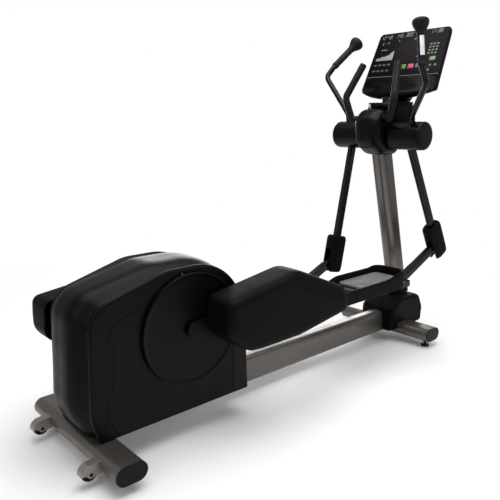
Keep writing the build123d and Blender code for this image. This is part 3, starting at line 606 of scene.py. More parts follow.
# across the machine: half-width, how far the surface has gone from the crown's outline to the side's, and
# how far it lies inside the outline so found, which makes the cove along each side
CROWN = [(0.0, 0.0, 0.0), (0.030, 0.0, 0.0), (0.058, 0.08, 0.0008), (0.080, 0.34, 0.0030),
         (0.096, 0.66, 0.0075), (0.108, 0.88, 0.0120), (0.1170, 0.97, 0.0128), (0.1250, 1.0, 0.0085),
         (0.1325, 1.0, 0.0028), (0.1390, 1.0, 0.0002), (0.1445, 1.0, 0.0008), (0.1480, 1.0, 0.0042),
         (SHROUD_HALF, 1.0, 0.0105)]


def shroud_outlines():
    """Side views of the shroud along its crown and along its sides."""
    x, low = REAR_X, SHROUD_LOW - 0.046
    top, nose = CRANK.z + 0.241, CRANK.x + 0.250
    crown = Outline([(x + 0.000, low), (x - 0.088, 0.200), (x - 0.066, 0.590), (x + 0.250, top), (nose, top),
                     (nose + 0.026, 0.290), (nose + 0.032, low)],
                    [0.004, 0.160, 0.100, 0.200, 0.239, 0.090, 0.004], 16, 0.03)
    top, nose = CRANK.z + 0.2295, CRANK.x + 0.2295
    side = Outline([(x - 0.006, low), (x - 0.046, 0.196), (x - 0.034, 0.566), (x + 0.262, top), (nose, top),
                    (nose + 0.040, 0.290), (nose + 0.050, low)],
                   [0.004, 0.110, 0.105, 0.200, 0.228, 0.110, 0.004], 16, 0.03, crown.runs)
    return crown, side


def panel_outline():
    """Side view of the flat panel let into each side of the shroud."""
    rear = offset([(0.057, 0.100), (0.014, 0.180), (0.012, 0.245), (0.034, 0.280), (0.046, 0.430),
                   (0.026, 0.460), (0.032, 0.490), (0.080, 0.520), (0.250, 0.570), (0.480, 0.560)], REAR_X)
    return Outline(rear + [(CAP_SEAM_X, 0.420), (CAP_SEAM_X, 0.100)],
                   [0.003, 0.040, 0.020, 0.025, 0.015, 0.012, 0.018, 0.040, 0.02, 0.02, 0.02, 0.003], 8, 0.02)


def crowned(wall):
    """Band crowned across the machine, drawn inside itself by the wall."""
    crown, side = shroud_outlines()
    half = smooth_line(CROWN, 3)
    squeeze = (SHROUD_HALF - wall) / SHROUD_HALF
    rings = []
    for sign, row in [(-1, step) for step in reversed(half[1:])] + [(1, step) for step in half]:
        pairs = zip(crown.ring(row.z + wall), side.ring(row.z + wall))
        rings.append(in_xz([p.lerp(q, min(1.0, row.y)) for p, q in pairs], sign * row.x * squeeze))
    return loft(rings)


def disc_tool():
    """Cutter for the opening round the crank discs."""
    ring = arc_points(CRANK.x, CRANK.z, OPENING_R, [2 * math.pi * k / 160 for k in range(160)])
    return loft([in_xz(ring, y) for y in (-THROUGH, THROUGH)])


def shroud_skin(name):
    """Hollow skin, open below, whose lower front corner is rounded."""
    keep = Outline([(REAR_X - 0.5, SHROUD_LOW), (SHROUD_FRONT, SHROUD_LOW), (SHROUD_FRONT, 1.0),
                    (REAR_X - 0.5, 1.0)], [0.001, 0.030, 0.001, 0.001], 10, 0.2)
    skin = to_object(name, crowned(0.0))
    boolean(skin, prism(keep), "INTERSECT")
    return boolean(skin, crowned(SHROUD_WALL))


def make_shroud():
    shell = shroud_skin("shroud_shell_moulding")
    boolean(shell, prism(panel_outline()))
    boolean(shell, disc_tool())
    boolean(shell, box_mesh((CAP_SEAM_X, -WIDE, 0), (FAR, WIDE, CAP_SEAM_Z)))
    piece(shell, "frame", SHROUD, ["shroud_shell"])

    cap = shroud_skin("shroud_front_moulding")
    front = box_mesh((CAP_SEAM_X + CAP_GAP, -WIDE, 0), (FAR, WIDE, CAP_SEAM_Z - CAP_GAP))
    boolean(cap, front, "INTERSECT")
    boolean(cap, disc_tool())
    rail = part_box("main_rail")
    boolean(cap, box_mesh((REAR_X, rail[0].y - RAIL_GAP, 0),
                          (REAR_X + 0.8, rail[1].y + RAIL_GAP, rail[1].z + RAIL_GAP)))
    piece(cap, "frame", CAP, ["shroud_front_cap"])

    for side, sign in SIDES.items():
        steps = [(0.1440, 0.0009), (0.1482, 0.0009), (0.1492, 0.0013), (0.1497, 0.0022), (0.1497, 0.0040)]
        panel = to_object(f"shroud_panel_{side}", side_loft(panel_outline(), steps, sign))
        boolean(panel, box_mesh((-FAR, -WIDE, SHROUD_LOW), (FAR, WIDE, HIGH)), "INTERSECT")
        boolean(panel, disc_tool())
        piece(panel, "frame", SHROUD, ["shroud_sides"])


def make_discs():
    """Dished crank discs with a raised lip that catches the light."""
    low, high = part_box("crank_discs")
    radius, face = (high.x - low.x) / 2, high.y
    lip = [(0.0178, face - 0.0045), (0.060, face - 0.0047), (0.120, face - 0.0056), (0.165, face - 0.0056),
           (radius - 0.018, face - 0.0042), (radius - 0.010, face - 0.0022), (radius - 0.0055, face - 0.0003),
           (radius - 0.0030, face), (radius - 0.0008, face - 0.0010), (radius, face - 0.0030),
           (radius, face - 0.0130), (radius - 0.002, face - 0.0140), (radius - 0.008, face - 0.0140),
           (radius - 0.0085, face - 0.0100), (0.050, face - 0.0090), (0.040, face - 0.0140),
           (0.0178, face - 0.0140)]
    for side, sign in SIDES.items():
        bm = to_side(turned_y(lathe(lip, 160)), sign)
        disc = to_object(f"crank_disc_{side}", put(bm, (CRANK.x, 0, CRANK.z)))
        piece(disc, "crank", SHROUD, ["crank_discs"], angle=50)


# ---------------------------------------------------------------- foot levers
COVER_Y0, COVER_Y1 = 0.185, 0.320
FACET_Y, FACET_EASE = 0.25, 0.004      # where the facets start across the machine, and their rounded edge
PEDAL_Y0, PEDAL_Y1 = 0.045, 0.232
TRAY_X0, TRAY_X1 = -0.790, -0.352
TRAY_LOW, TRAY_RIM, TRAY_FLOOR = -0.157, -0.095, -0.112


def from_pin(points):
    """Points in the side view, from the right lever's front pin; given from the stabiliser and the floor."""
    return offset(points, REAR_X - PINS["right"].x, -PINS["right"].z)


def cover_outline():
    """Side view of a lever's cover, from its front pin."""
    return Outline(from_pin([(0.410, 0.543), (0.765, 0.600), (1.055, 0.476), (1.057, 0.374), (0.770, 0.331),
                             (0.520, 0.328), (0.408, 0.415)]),
                   [0.036, 0.130, 0.048, 0.036, 0.150, 0.050, 0.058], 12, 0.03)


def cover_facets():
    """Lines on the cover's outer face beyond which it falls away, as (point, outward direction, slope)."""
    upper, lower = from_pin([(0.749, 0.530), (1.032, 0.415)]), from_pin([(0.445, 0.447), (0.566, 0.342)])
    facets = []
    for line, inside, slope in ((upper, Vector((0, -1)), 0.20), (lower, Vector((1, 1)), 0.30)):
        a, b = Vector(line[0]), Vector(line[1])
        along = (b - a).normalized()
        out = Vector((-along.y, along.x))
        facets.append((a, -out if out.dot(inside) > 0 else out, slope))
    return facets


def make_lever_cover(side, sign):
    """Hollow cover over the lever's rear, faceted on its outer face."""
    outline = cover_outline()
    outer = [(COVER_Y0, 0.004), (COVER_Y0 + 0.001, 0.0012), (COVER_Y0 + 0.004, 0.0), (0.240, 0.0),
             (0.285, 0.0012), (0.300, 0.0042), (0.309, 0.0090), (0.3148, 0.0155), (0.3178, 0.0225),
             (COVER_Y1 - 0.0012, 0.0295), (COVER_Y1 - 0.0010, 0.0330)]
    shell = side_loft(outline, smooth_line(outer, 2))
    for point, out, slope in cover_facets():
        for shift in (0.0, FACET_EASE):
            spot = point + out * shift
            bmesh.ops.bisect_plane(shell, geom=shell.verts[:] + shell.edges[:] + shell.faces[:],
                                   plane_co=(spot.x, 0, spot.y), plane_no=(out.x, 0, out.y))
        for vert in shell.verts:
            beyond = (Vector((vert.co.x, vert.co.z)) - point).dot(out)
            if beyond > 1e-6 and vert.co.y > FACET_Y:
                start = beyond * beyond / (2 * FACET_EASE)
                fall = slope * (start if beyond < FACET_EASE else beyond - FACET_EASE / 2)
                weight = min(1.0, (vert.co.y - FACET_Y) / 0.06)
                vert.co.y -= fall * weight * weight
    cover = to_object(f"lever_cover_moulding_{side}", shell)
    hollow = [(0.170, 0.0085), (0.280, 0.0090), (0.296, 0.0130), (0.303, 0.022), (0.305, 0.034)]
    boolean(cover, side_loft(outline, hollow))
    object_to_side(cover, sign)
    soften(cover, 0.0010, 2, 45)
    piece(cover, f"lever_{side}", SATIN, [f"lever_cover_{side}"], lever_place(side), 30)


def rim_rise(x, y):
    """Height that the tray's rim gains towards the toe and along its inboard side."""
    toe = clamped((x - (TRAY_X1 - 0.190)) / 0.170)
    inboard = clamped((PEDAL_Y0 + 0.050 - y) / 0.045) * clamped((x - TRAY_X0 - 0.03) / 0.09)
    return max(eased(0.024, toe), eased(0.017, inboard))


def make_tray(side, sign):
    """Foot tray: thin dished moulding whose rim rises round the toe."""
    plan = Outline([(TRAY_X0, PEDAL_Y0), (TRAY_X1, PEDAL_Y0), (TRAY_X1, PEDAL_Y1), (TRAY_X0, PEDAL_Y1)],
                   [0.026, 0.052, 0.052, 0.026], 10, 0.012)
    steps = [(TRAY_LOW + 0.012, 0.0045, 0), (TRAY_LOW + 0.002, 0.0045, 0), (TRAY_LOW, 0.0030, 0),
             (TRAY_LOW + 0.001, 0.0010, 0), (TRAY_LOW + 0.006, 0.0, 0), (TRAY_RIM - 0.022, 0.0, 0.3),
             (TRAY_RIM - 0.008, 0.0, 1), (TRAY_RIM - 0.003, 0.0010, 1), (TRAY_RIM - 0.0006, 0.0035, 1),
             (TRAY_RIM, 0.0065, 1), (TRAY_RIM - 0.0007, 0.0110, 1), (TRAY_RIM - 0.004, 0.0145, 0.9),
             (TRAY_RIM - 0.010, 0.0162, 0.5), (TRAY_FLOOR + 0.0015, 0.0172, 0), (TRAY_FLOOR, 0.0190, 0)]
    rings = []
    for z, inset, lift in steps:
        ring = plan.ring(inset)
        rings.append([Vector((p.x, p.y, z + lift * rim_rise(p.x, p.y))) for p in ring])
    tray = to_object(f"pedal_tray_moulding_{side}", loft(rings))
    skirt = Outline([(-0.905, TRAY_LOW), (TRAY_X0 + 0.04, TRAY_LOW), (TRAY_X0 + 0.04, -0.097),
                     (TRAY_X0 + 0.004, -0.0965), (-0.905, -0.118)],
                    [0.004, 0.001, 0.001, 0.03, 0.012], 6, 0.02)
    boolean(tray, side_loft(skirt, ((0.160, 0.004), (0.1615, 0.001), (0.166, 0.0), (0.222, 0.0),
                                    (0.229, 0.0018), (0.2315, 0.005), (0.2318, 0.009))), "UNION")
    boolean(tray, plan_loft(plan, ((-0.2, 0.0055), (-0.122, 0.0065), (-0.1160, 0.0120))))
    boolean(tray, box_mesh((-0.945, 0.1195, -0.2), (-0.31, 0.2287, -0.1299)))
    object_to_side(tray, sign)
    piece(tray, f"lever_{side}", SATIN, [f"pedal_tray_{side}"], lever_place(side), 40)


def make_pad(side, sign):
    """Textured insert: crowned sheet with rows of small raised studs."""
    low, high = -0.690, -0.396
    y0, y1 = 0.068, 0.202
    plan = Outline([(low, y0), (high, y0), (high, y1), (low, y1)], [0.016, 0.030, 0.030, 0.016], 8, 0.02)
    steps = [(TRAY_FLOOR, 0.0), (-0.1045, 0.0), (-0.1028, 0.0008), (-0.1020, 0.0028), (-0.1020, 0.006),
             (-0.1027, 0.0068), (-0.1027, 0.0080)]
    sheet = plan_loft(plan, steps)
    studs = []
    pitch = 0.0098
    across_count = int((y1 - y0 - 0.022) / pitch)
    along_count = int((high - low - 0.024) / pitch)
    profile = [(0.0, -0.1030), (0.0034, -0.1030), (0.0030, -0.1022), (0.0022, -0.1018), (0.0, -0.1017)]
    for i in range(along_count + 1):
        for j in range(across_count + 1):
            shift = pitch / 2 if i % 2 else 0.0
            x = low + 0.0125 + i * pitch
            y = y0 + 0.0115 + j * pitch + shift
            if y > y1 - 0.0105:
                continue
            corner = Vector((min(x - low, high - x), min(y - y0, y1 - y)))
            if corner.x < 0.022 and corner.y < 0.022 and (x > -0.5 or corner.length < 0.020):
                continue
            studs.append(put(lathe(profile, 8, False), (x, y, 0)))
    pad = join(f"pedal_tread_{side}", [sheet] + studs)
    object_to_side(pad, sign)
    piece(pad, f"lever_{side}", TREAD, [f"pedal_pad_{side}"], lever_place(side), 40)


def make_link(side, sign):
    """Thick outer tube over the lever's link, from under the toe up to the boot."""
    start, end = Vector((-0.322, sign * ARM_Y, -0.1448)), Vector((-0.064, sign * ARM_Y, -0.0287))
    length = (end - start).length
    axis = (end - start).normalized()
    up = Vector((0, 1, 0)).cross(axis) * -1.0
    section = rectangle(0.0335, 0.0540, 0.0155, (0, 0), 8, 0.02)
    rings = []
    for distance, inset in ((0.0, 0.004), (0.0015, 0.0), (length - 0.006, 0.0), (length - 0.0015, 0.0015),
                            (length, 0.0055)):
        rings.append([start + axis * distance + Vector((0, p.x, 0)) + up * p.y for p in section.ring(inset)])
    link = to_object(f"lever_link_{side}", loft(rings))
    elbow = Outline([(-0.400, -0.1560), (-0.290, -0.1560), (-0.274, -0.1240), (-0.330, -0.1180),
                     (-0.400, -0.1300)], [0.004, 0.022, 0.010, 0.020, 0.004], 8, 0.02)
    steps = ((-0.0210, 0.0060), (-0.0200, 0.0030), (-0.0170, 0.0006), (-0.0150, 0.0), (0.0150, 0.0),
             (0.0170, 0.0006), (0.0200, 0.0030), (0.0210, 0.0060))
    boolean(link, side_loft(elbow, [(ARM_Y + y, inset) for y, inset in steps], sign), "UNION")
    piece(link, f"lever_{side}", ARM, (), lever_place(side), 40)


def screw(radius, height):
    """Button-head screw along +Z with a socket in its head."""
    return lathe([(0.0, -0.002), (radius, -0.002), (radius, height * 0.25), (radius * 0.86, height * 0.75),
                  (radius * 0.5, height), (radius * 0.42, height), (radius * 0.40, height * 0.35),
                  (0.0, height * 0.3)], 24, False)


def make_pedal_screws(side, sign):
    heads = []
    for x in (-0.772, -0.728):
        bm = to_side(turned_y(screw(0.0062, 0.0028)), sign)
        heads.append(put(bm, (x, sign * (PEDAL_Y1 - 0.0022), -0.135)))
    piece(join(f"pedal_screws_{side}", heads), f"lever_{side}", FOOT, (), lever_place(side), 40)


# ---------------------------------------------------------------- arms
ARM_Y = 0.163
HUB_Y0, HUB_Y1, HUB_R = 0.079, 0.260, 0.067
BOOT_TOP, BOOT_LOW = 0.126 - ARM_LEN, -0.068 - ARM_LEN


def make_hub(side, sign):
    """Hollow drum over the arm's pivot, with a groove round its outer face."""
    end, r = HUB_Y1, HUB_R
    profile = [(0.0, end), (0.030, end - 0.0003), (0.050, end - 0.0012), (0.0560, end - 0.0020),
               (0.0564, end - 0.0034), (0.0578, end - 0.0036), (0.0584, end - 0.0024), (0.0615, end - 0.0034),
               (0.0645, end - 0.0060), (0.0664, end - 0.0100), (r, end - 0.0150), (r, HUB_Y0 + 0.0040),
               (r - 0.0010, HUB_Y0 + 0.0010), (r - 0.0030, HUB_Y0), (r - 0.0050, HUB_Y0 + 0.0020),
               (r - 0.0055, end - 0.012), (0.0, end - 0.006)]
    hub = to_object(f"hub_shell_{side}", to_side(turned_y(lathe(profile, 96, False)), sign))
    piece(hub, f"arm_{side}", HEAD, [f"hub_cover_{side}"], arm_place(side), 50)


def make_boot(side, sign):
    """Sleeve over the arm's fork, with a round-topped slot behind."""
    y = sign * ARM_Y
    plan = rectangle(0.112, 0.076, 0.0375, (0.0, y), 14, 0.03)
    steps = [(BOOT_LOW, 0.0170), (BOOT_LOW + 0.0020, 0.0105), (BOOT_LOW + 0.006, 0.0058),
             (BOOT_LOW + 0.012, 0.0026), (BOOT_LOW + 0.020, 0.0008), (BOOT_LOW + 0.050, 0.0),
             (BOOT_TOP - 0.020, 0.0), (BOOT_TOP - 0.009, 0.0016), (BOOT_TOP - 0.0025, 0.0055),
             (BOOT_TOP, 0.0105), (BOOT_TOP - 0.0006, 0.0130), (BOOT_TOP - 0.0030, 0.0145)]
    boot = to_object(f"boot_sleeve_{side}", plan_loft(plan, steps))
    half, low, top = 0.0186, BOOT_LOW - 0.05, 0.0525 - ARM_LEN
    slot = Outline([(y - half, low), (y + half, low), (y + half, top), (y - half, top)],
                   [0.001, 0.001, 0.0125, 0.0125], 10, 0.05)
    boolean(boot, loft([[Vector((x, p.x, p.y)) for p in slot.ring()] for x in (-0.09, 0.0275)]))
    soften(boot, 0.0015, 3, 45)
    piece(boot, f"arm_{side}", SATIN, [f"boot_{side}"], arm_place(side), 40)
    head = moved(screw(0.0048, 0.002), Matrix.Rotation(-math.pi / 2, 4, "Y"))
    put(head, (-0.0552, y, BOOT_TOP - 0.030))
    piece(to_object(f"boot_screw_{side}", head), f"arm_{side}", FOOT, (), arm_place(side), 40)


def grip_line(sign):
    """Lowest and highest point of a grip's axis, in the arm's frame."""
    return Vector((-0.034, sign * 0.345, 0.352)), Vector((0.070, sign * 0.311, 0.497))


def make_grip(side, sign):
    """Rubber sleeve that swells into a bulb at its end."""
    low, high = grip_line(sign)
    axis = (high - low).normalized()
    length = (high - low).length
    profile = [(0.004, 0.0152), (0.0045, 0.0168), (0.007, 0.0180), (0.016, 0.0182), (0.020, 0.0172),
               (0.030, 0.0168), (0.060, 0.0170), (0.100, 0.0170), (length - 0.052, 0.0172),
               (length - 0.042, 0.0182), (length - 0.031, 0.0208), (length - 0.020, 0.0258),
               (length - 0.008, 0.0318), (length + 0.003, 0.0356), (length + 0.012, 0.0362),
               (length + 0.0189, 0.0335), (length + 0.0236, 0.0275), (length + 0.0259, 0.0190),
               (length + 0.0265, 0.0090), (length + 0.0263, 0.0015)]
    line = smooth_line(profile, 4)
    grip = to_object(f"grip_sleeve_{side}", tube([low + axis * p.x for p in line], [p.y for p in line], 48))
    piece(grip, f"arm_{side}", RUBBER, [f"grip_{side}"], arm_place(side), 60)


def make_sensor(side, sign):
    """Metal pulse sensor let into the grip's outer rear, inside a dark surround."""
    low, high = grip_line(sign)
    axis = (high - low).normalized()
    facing = Vector((-1.0, 0.85 * sign, 0.0))
    facing = (facing - axis * facing.dot(axis)).normalized()
    across = axis.cross(facing)
    layers = (("surround", SATIN, "satin_black", 0.0176, 46, 0.040, 0.137),
              ("strip", STRIP, "sensor", 0.0181, 31, 0.046, 0.131))
    for name, material, slot, reach, spread, start, end in layers:
        rings = []
        for distance, shrink in ((start, 0.0012), (start + 0.0012, 0.0), (end - 0.0012, 0.0), (end, 0.0012)):
            arc = [math.radians(-spread + 2 * spread * k / 16) for k in range(17)]
            outer = [low + axis * distance + (reach - shrink) * (math.cos(t) * facing + math.sin(t) * across)
                     for t in arc]
            inner = [low + axis * distance + 0.0150 * (math.cos(t) * facing + math.sin(t) * across)
                     for t in reversed(arc)]
            rings.append(outer + inner)
        shape = to_object(f"sensor_{name}_{side}", loft(rings))
        piece(shape, f"arm_{side}", material, [f"pulse_sensor_{side}"], arm_place(side), 40)


# ---------------------------------------------------------------- head, cups and fixed handles
MAST_LEAN = 14.5           # degrees


def make_head():
    """Rounded cover round the pivot, cut away for the mast."""
    outline = Outline(offset([(1.600, 0.992), (1.716, 0.985), (1.748, 1.110), (1.758, 1.206), (1.560, 1.214),
                              (1.512, 1.160), (1.528, 1.040)], REAR_X),
                      [0.045, 0.045, 0.060, 0.045, 0.050, 0.055, 0.070], 12, 0.03)
    half = smooth_line([(0.0, 0.0), (0.026, 0.0006), (0.046, 0.0040), (0.060, 0.0105), (0.069, 0.0185),
                        (0.0742, 0.0285), (0.0758, 0.0400)], 3)
    head = to_object("head_moulding", side_loft(outline, both_sides(half)))
    mast = plan_loft(rectangle(0.1052, 0.0772, 0.0306), ((-0.4, 0.0), (-0.02, 0.0)))
    boolean(head, moved(mast, about_y(PIVOT, math.radians(-MAST_LEAN))))
    soften(head, 0.0015, 2, 45)
    piece(head, "frame", HEAD, ["head_cover"], None, 40)


CUP_X, CUP_Y = REAR_X + 1.722, 0.076
CUP_BORE = 0.0445          # radius of the holes that the cups stand in
RIBS, RIB_DEPTH, RIB_EASE = 30, 0.022, 0.006     # depth as a share of the radius
RIB_LOW, RIB_HIGH = 1.160, 1.233


def make_cups():
    """Tray with two ribbed bottle cups."""
    wall = [(0.0, 1.1480), (0.0575, 1.1480), (0.0606, 1.1495), (0.0616, 1.1530), (0.0612, 1.1680),
            (0.0592, 1.1820), (0.0550, 1.1990), (0.0504, 1.2150), (0.0468, 1.2280), (0.0452, 1.2345),
            (0.0462, 1.2375), (0.0462, 1.2430), (0.0456, 1.2452), (0.0442, 1.2460), (0.0428, 1.2452),
            (0.0420, 1.2430), (0.0410, 1.2300), (0.0378, 1.1745), (0.0364, 1.1720), (0.0, 1.1715)]
    cups = []
    for sign in SIDES.values():
        cup = lathe(wall, 180, False)
        for vert in cup.verts:
            radius = math.hypot(vert.co.x, vert.co.y)
            rise = clamped((vert.co.z - RIB_LOW) / RIB_EASE) * clamped((RIB_HIGH - vert.co.z) / RIB_EASE)
            if radius > CUP_BORE and rise > 0:
                around = math.atan2(vert.co.y, vert.co.x)
                scale = 1 - rise * RIB_DEPTH * max(0.0, math.cos(RIBS * around)) ** 2
                vert.co.x *= scale
                vert.co.y *= scale
        cups.append(put(cup, (CUP_X, sign * CUP_Y, 0)))
    corners = [(1.615, -0.072), (1.765, -0.072), (1.765, 0.072), (1.615, 0.072)]
    steps = [(1.206, 0.010), (1.2155, 0.0035), (1.2240, 0.0), (1.2330, 0.0), (1.2370, 0.0015),
             (1.2392, 0.0050), (1.2392, 0.0120), (1.2370, 0.0150), (1.2362, 0.0180)]
    bridge = to_object("cup_bridge", plan_loft(Outline(offset(corners, REAR_X), [0.05] * 4, 10, 0.03), steps))
    for sign in SIDES.values():
        hole = lathe([(0.0, 1.1), (CUP_BORE, 1.1), (CUP_BORE, 1.3), (0.0, 1.3)], 96, False)
        boolean(bridge, put(hole, (CUP_X, sign * CUP_Y, 0)))
    piece(bridge, "frame", HEAD, ["accessory_tray"], None, 40)
    piece(join("bottle_cups", cups), "frame", SATIN, ["accessory_tray"], None, 40)


def make_handle_rings():
    """Moulded collar near the free end of each fixed handle."""
    profile = smooth_line([(-0.030, 0.0170), (-0.0285, 0.0177), (-0.024, 0.0178), (-0.0225, 0.0171)], 3)
    for side, sign in SIDES.items():
        low = Vector((REAR_X + 1.545, sign * 0.144, 1.268))
        high = Vector((REAR_X + 1.626, sign * 0.101, 1.430))
        axis = (high - low).normalized()
        ring = tube([high + axis * p.x for p in profile], [p.y for p in profile], 40)
        piece(to_object(f"handle_ring_{side}", ring), "frame", RUBBER, (), None, 50)


# ---------------------------------------------------------------- console
CONSOLE_H, CONSOLE_LOW_W, CONSOLE_TOP_W = 0.334, 0.444, 0.412
LEDGE_TOP = 0.085
KEY_GAP = 0.001
GLASS_X, LIT_X, MEMBRANE_X = -0.0019, -0.0026, -0.0028      # from the face towards the rider
KEYS = {"key_start": (0.002, 0.134, 0.028, 0.026), "key_stop": (-0.040, 0.134, 0.034, 0.028),
        "key_cool": (-0.080, 0.134, 0.028, 0.026), "key_enter": (-0.153, 0.167, 0.034, 0.024)}


def console_outline():
    low, top = CONSOLE_LOW_W / 2, CONSOLE_TOP_W / 2
    return Outline([(-low, 0.0), (low, 0.0), (top, CONSOLE_H), (-top, CONSOLE_H)], [0.022] * 4, 10, 0.05)


def in_face(ring, x):
    """Ring drawn on the console's face, with its second coordinate up the face."""
    return [Vector((x, p.x, p.y)) for p in ring]


def face_loft(outline, steps):
    """Skin an outline of the console's face, through steps of (distance behind the face, inset)."""
    return loft([in_face(outline.ring(inset), x) for x, inset in steps])


def plate(centre, width, height, radius, x0, x1, soft=0.0004):
    """Small raised plate on the console's face; x0 is its back and x1 its front."""
    outline = rectangle(width, height, radius, centre, 4, 0.1)
    mid = x1 + (soft if x1 < x0 else -soft)
    return face_loft(outline, ((x0, 0.0), (mid, 0.0), (x1, soft)))


SEGMENTS = {"0": "abcdef", "1": "bc", "2": "abged", "3": "abgcd", "4": "fgbc", "5": "afgcd", "6": "afgedc",
            "7": "abc", "8": "abcdefg", "9": "abcdfg"}


def digit(character, u, v, height):
    """Seven-segment figure; u runs to the rider's right and v up the face."""
    width, bar = height * 0.5, height * 0.11
    spots = {"a": (0, 1, 0), "d": (0, -1, 0), "g": (0, 0, 0), "b": (1, 0.5, 1), "c": (1, -0.5, 1),
             "e": (-1, -0.5, 1), "f": (-1, 0.5, 1)}
    bars = []
    for name in SEGMENTS.get(character, ""):
        du, dv, upright = spots[name]
        slant = dv * height * 0.06
        centre = (-(u + du * width / 2 + slant), v + dv * height / 2)
        size = (bar, height / 2 - bar * 1.2) if upright else (width - bar * 1.2, bar)
        bars.append(plate(centre, size[0], size[1], bar * 0.3, -0.0020, LIT_X, 0.0001))
    if character == ":":
        for dv in (-0.22, 0.22):
            bars.append(plate((-u, v + dv * height), bar, bar, bar * 0.3, -0.0020, LIT_X, 0.0001))
    return bars


def readout(text, u, v, height):
    """Row of figures; (u, v) is the centre of the first."""
    parts = []
    for character in text:
        parts.extend(digit(character, u, v, height))
        u += height * (0.42 if character == ":" else 0.78)
    return parts


def cut_key_holes(obj):
    for y, z, width, height in KEYS.values():
        boolean(obj, plate((y, z), width + KEY_GAP, height + KEY_GAP, 0.0055, 0.008, -0.01))


def make_console():
    """Rounded back shell and the dark glass laid on its face."""
    back = [(-0.0012, 0.0040), (-0.0018, 0.0028), (-0.0012, 0.0012), (0.0010, 0.0002), (0.0050, 0.0),
            (0.0120, 0.0012), (0.0200, 0.0045), (0.0300, 0.0095), (0.0400, 0.0170), (0.0470, 0.0270),
            (0.0495, 0.0400), (0.0498, 0.0480)]
    shell = to_object("console_shell", face_loft(console_outline(), smooth_line(back, 2)))
    cut_key_holes(shell)
    piece(shell, "frame", SATIN, ["console_back"], CONSOLE, 40)

    low, top = CONSOLE_LOW_W / 2 - 0.0115, CONSOLE_TOP_W / 2 - 0.0065
    upper = Outline([(-low, LEDGE_TOP + 0.002), (low, LEDGE_TOP + 0.002), (top, CONSOLE_H - 0.006),
                     (-top, CONSOLE_H - 0.006)], [0.003, 0.003, 0.017, 0.017], 8, 0.05)
    glass = to_object("console_glass", face_loft(upper, ((-0.0005, 0.0), (-0.0016, 0.0), (-0.0020, 0.0006),
                                                         (-0.0020, 0.002))))
    cut_key_holes(glass)
    piece(glass, "frame", GLASS, ["console_face"], CONSOLE, 40)


READOUTS = (("12:48", -0.188, 0.310, 0.020), ("145", -0.096, 0.312, 0.019), ("380", -0.038, 0.313, 0.019),
            ("106", 0.020, 0.314, 0.017), ("11:38", 0.104, 0.316, 0.020), ("72", -0.176, 0.274, 0.013),
            ("19", -0.146, 0.276, 0.013), ("9", -0.075, 0.284, 0.009), ("46", 0.016, 0.285, 0.012))
BAR_HEIGHTS = (0.012, 0.016, 0.014, 0.019, 0.022, 0.021, 0.026, 0.024, 0.030, 0.036, 0.043, 0.049)


def make_display():
    """Lit line over the ledge, invented figures, a row of bars, and a dark window."""
    lit = [plate((0.001, LEDGE_TOP), 0.420, 0.0020, 0.0008, -0.0010, LIT_X)]
    for text, u, v, height in READOUTS:
        lit += readout(text, u, v, height)
    for i, level in enumerate(BAR_HEIGHTS):
        u = -0.1835 + i * 0.0085
        lit.append(plate((-u, 0.178 + level / 2), 0.0086, level, 0.0006, GLASS_X, LIT_X, 0.0001))
    lit.append(plate((0.152, 0.238), 0.036, 0.0035, 0.001, GLASS_X, LIT_X, 0.0001))
    piece(join("display_lit", lit), "frame", LIT, (), CONSOLE, 60)

    window = to_object("display_window", plate((0.009, 0.214), 0.120, 0.096, 0.004, GLASS_X, LIT_X))
    piece(window, "frame", WINDOW, (), CONSOLE, 60)


def make_membrane_keys():
    """Flat keys raised on the glass; menu keys carry a short line and ten of the others a figure."""
    menu = [(-0.180 + 0.0275 * column, v) for v in (0.152, 0.119) for column in range(4)]
    numbers = [(0.122 + 0.019 * column, 0.247 - 0.0165 * row) for row in range(4) for column in range(3)]
    round_keys = [(0.150, 0.133), (0.146, 0.108), (0.178, 0.133)]
    small_keys = [(0.072, 0.245), (0.066, 0.225), (0.072, 0.205), (0.062, 0.186)]
    keys = []
    sets = ((menu, 0.019, 0.0125, 0.004), (numbers, 0.013, 0.0105, 0.004), (round_keys, 0.013, 0.013, 0.006),
            (small_keys, 0.010, 0.009, 0.003))
    for places, width, height, radius in sets:
        keys += [plate((-u, v), width, height, radius, GLASS_X, MEMBRANE_X) for u, v in places]
    piece(join("membrane_keys", keys), "frame", DIM, (), CONSOLE, 60)

    marks = [plate((-u, v), 0.008, 0.0022, 0.001, -0.0027, -0.0031, 0.0001) for u, v in menu]
    for figure, (u, v) in zip("123456789 0 ", numbers):
        marks += [put(bar, (-0.0008, 0, 0)) for bar in digit(figure, u, v, 0.0062)]
    piece(join("key_legends", marks), "frame", LIT, (), CONSOLE, 60)


def make_ledge():
    """Gloss lower panel that sweeps out into a shelf for a book or tablet."""
    front = [(-0.0022, LEDGE_TOP - 0.0015), (-0.0040, 0.068), (-0.0085, 0.048), (-0.0150, 0.028),
             (-0.0240, 0.009), (-0.0320, -0.0090), (-0.0350, -0.0240), (-0.0335, -0.0370), (-0.0260, -0.0455),
             (-0.0130, -0.0480), (0.0010, -0.0430), (0.0120, -0.0300)]
    back = [(0.0180, -0.0080), (0.0180, 0.020), (0.0020, 0.040), (0.0020, LEDGE_TOP - 0.0015)]
    section = smooth_line(front, 3) + [Vector(p) for p in back]
    stations = 60
    half = 0.2115
    rings = []
    for k in range(stations + 1):
        y = -half + 2 * half * k / stations
        out = max(0.0, 1.0 - (abs(y) / half) ** 2.6)
        reach = 0.12 + 0.88 * out
        ring = []
        for p in section:
            x = p.x * reach if p.x < -0.0021 else p.x
            z = p.y * (0.10 + 0.90 * out) if p.y < 0 else p.y
            ring.append(Vector((x, y, z + 0.003 * (1 - out) * (1 if p.y < 0.01 else 0))))
        rings.append(ring)
    ledge = to_object("console_ledge", loft(rings))
    soften(ledge, 0.0010, 2, 50)
    piece(ledge, "frame", GLASS, ["reading_rack"], CONSOLE, 50)


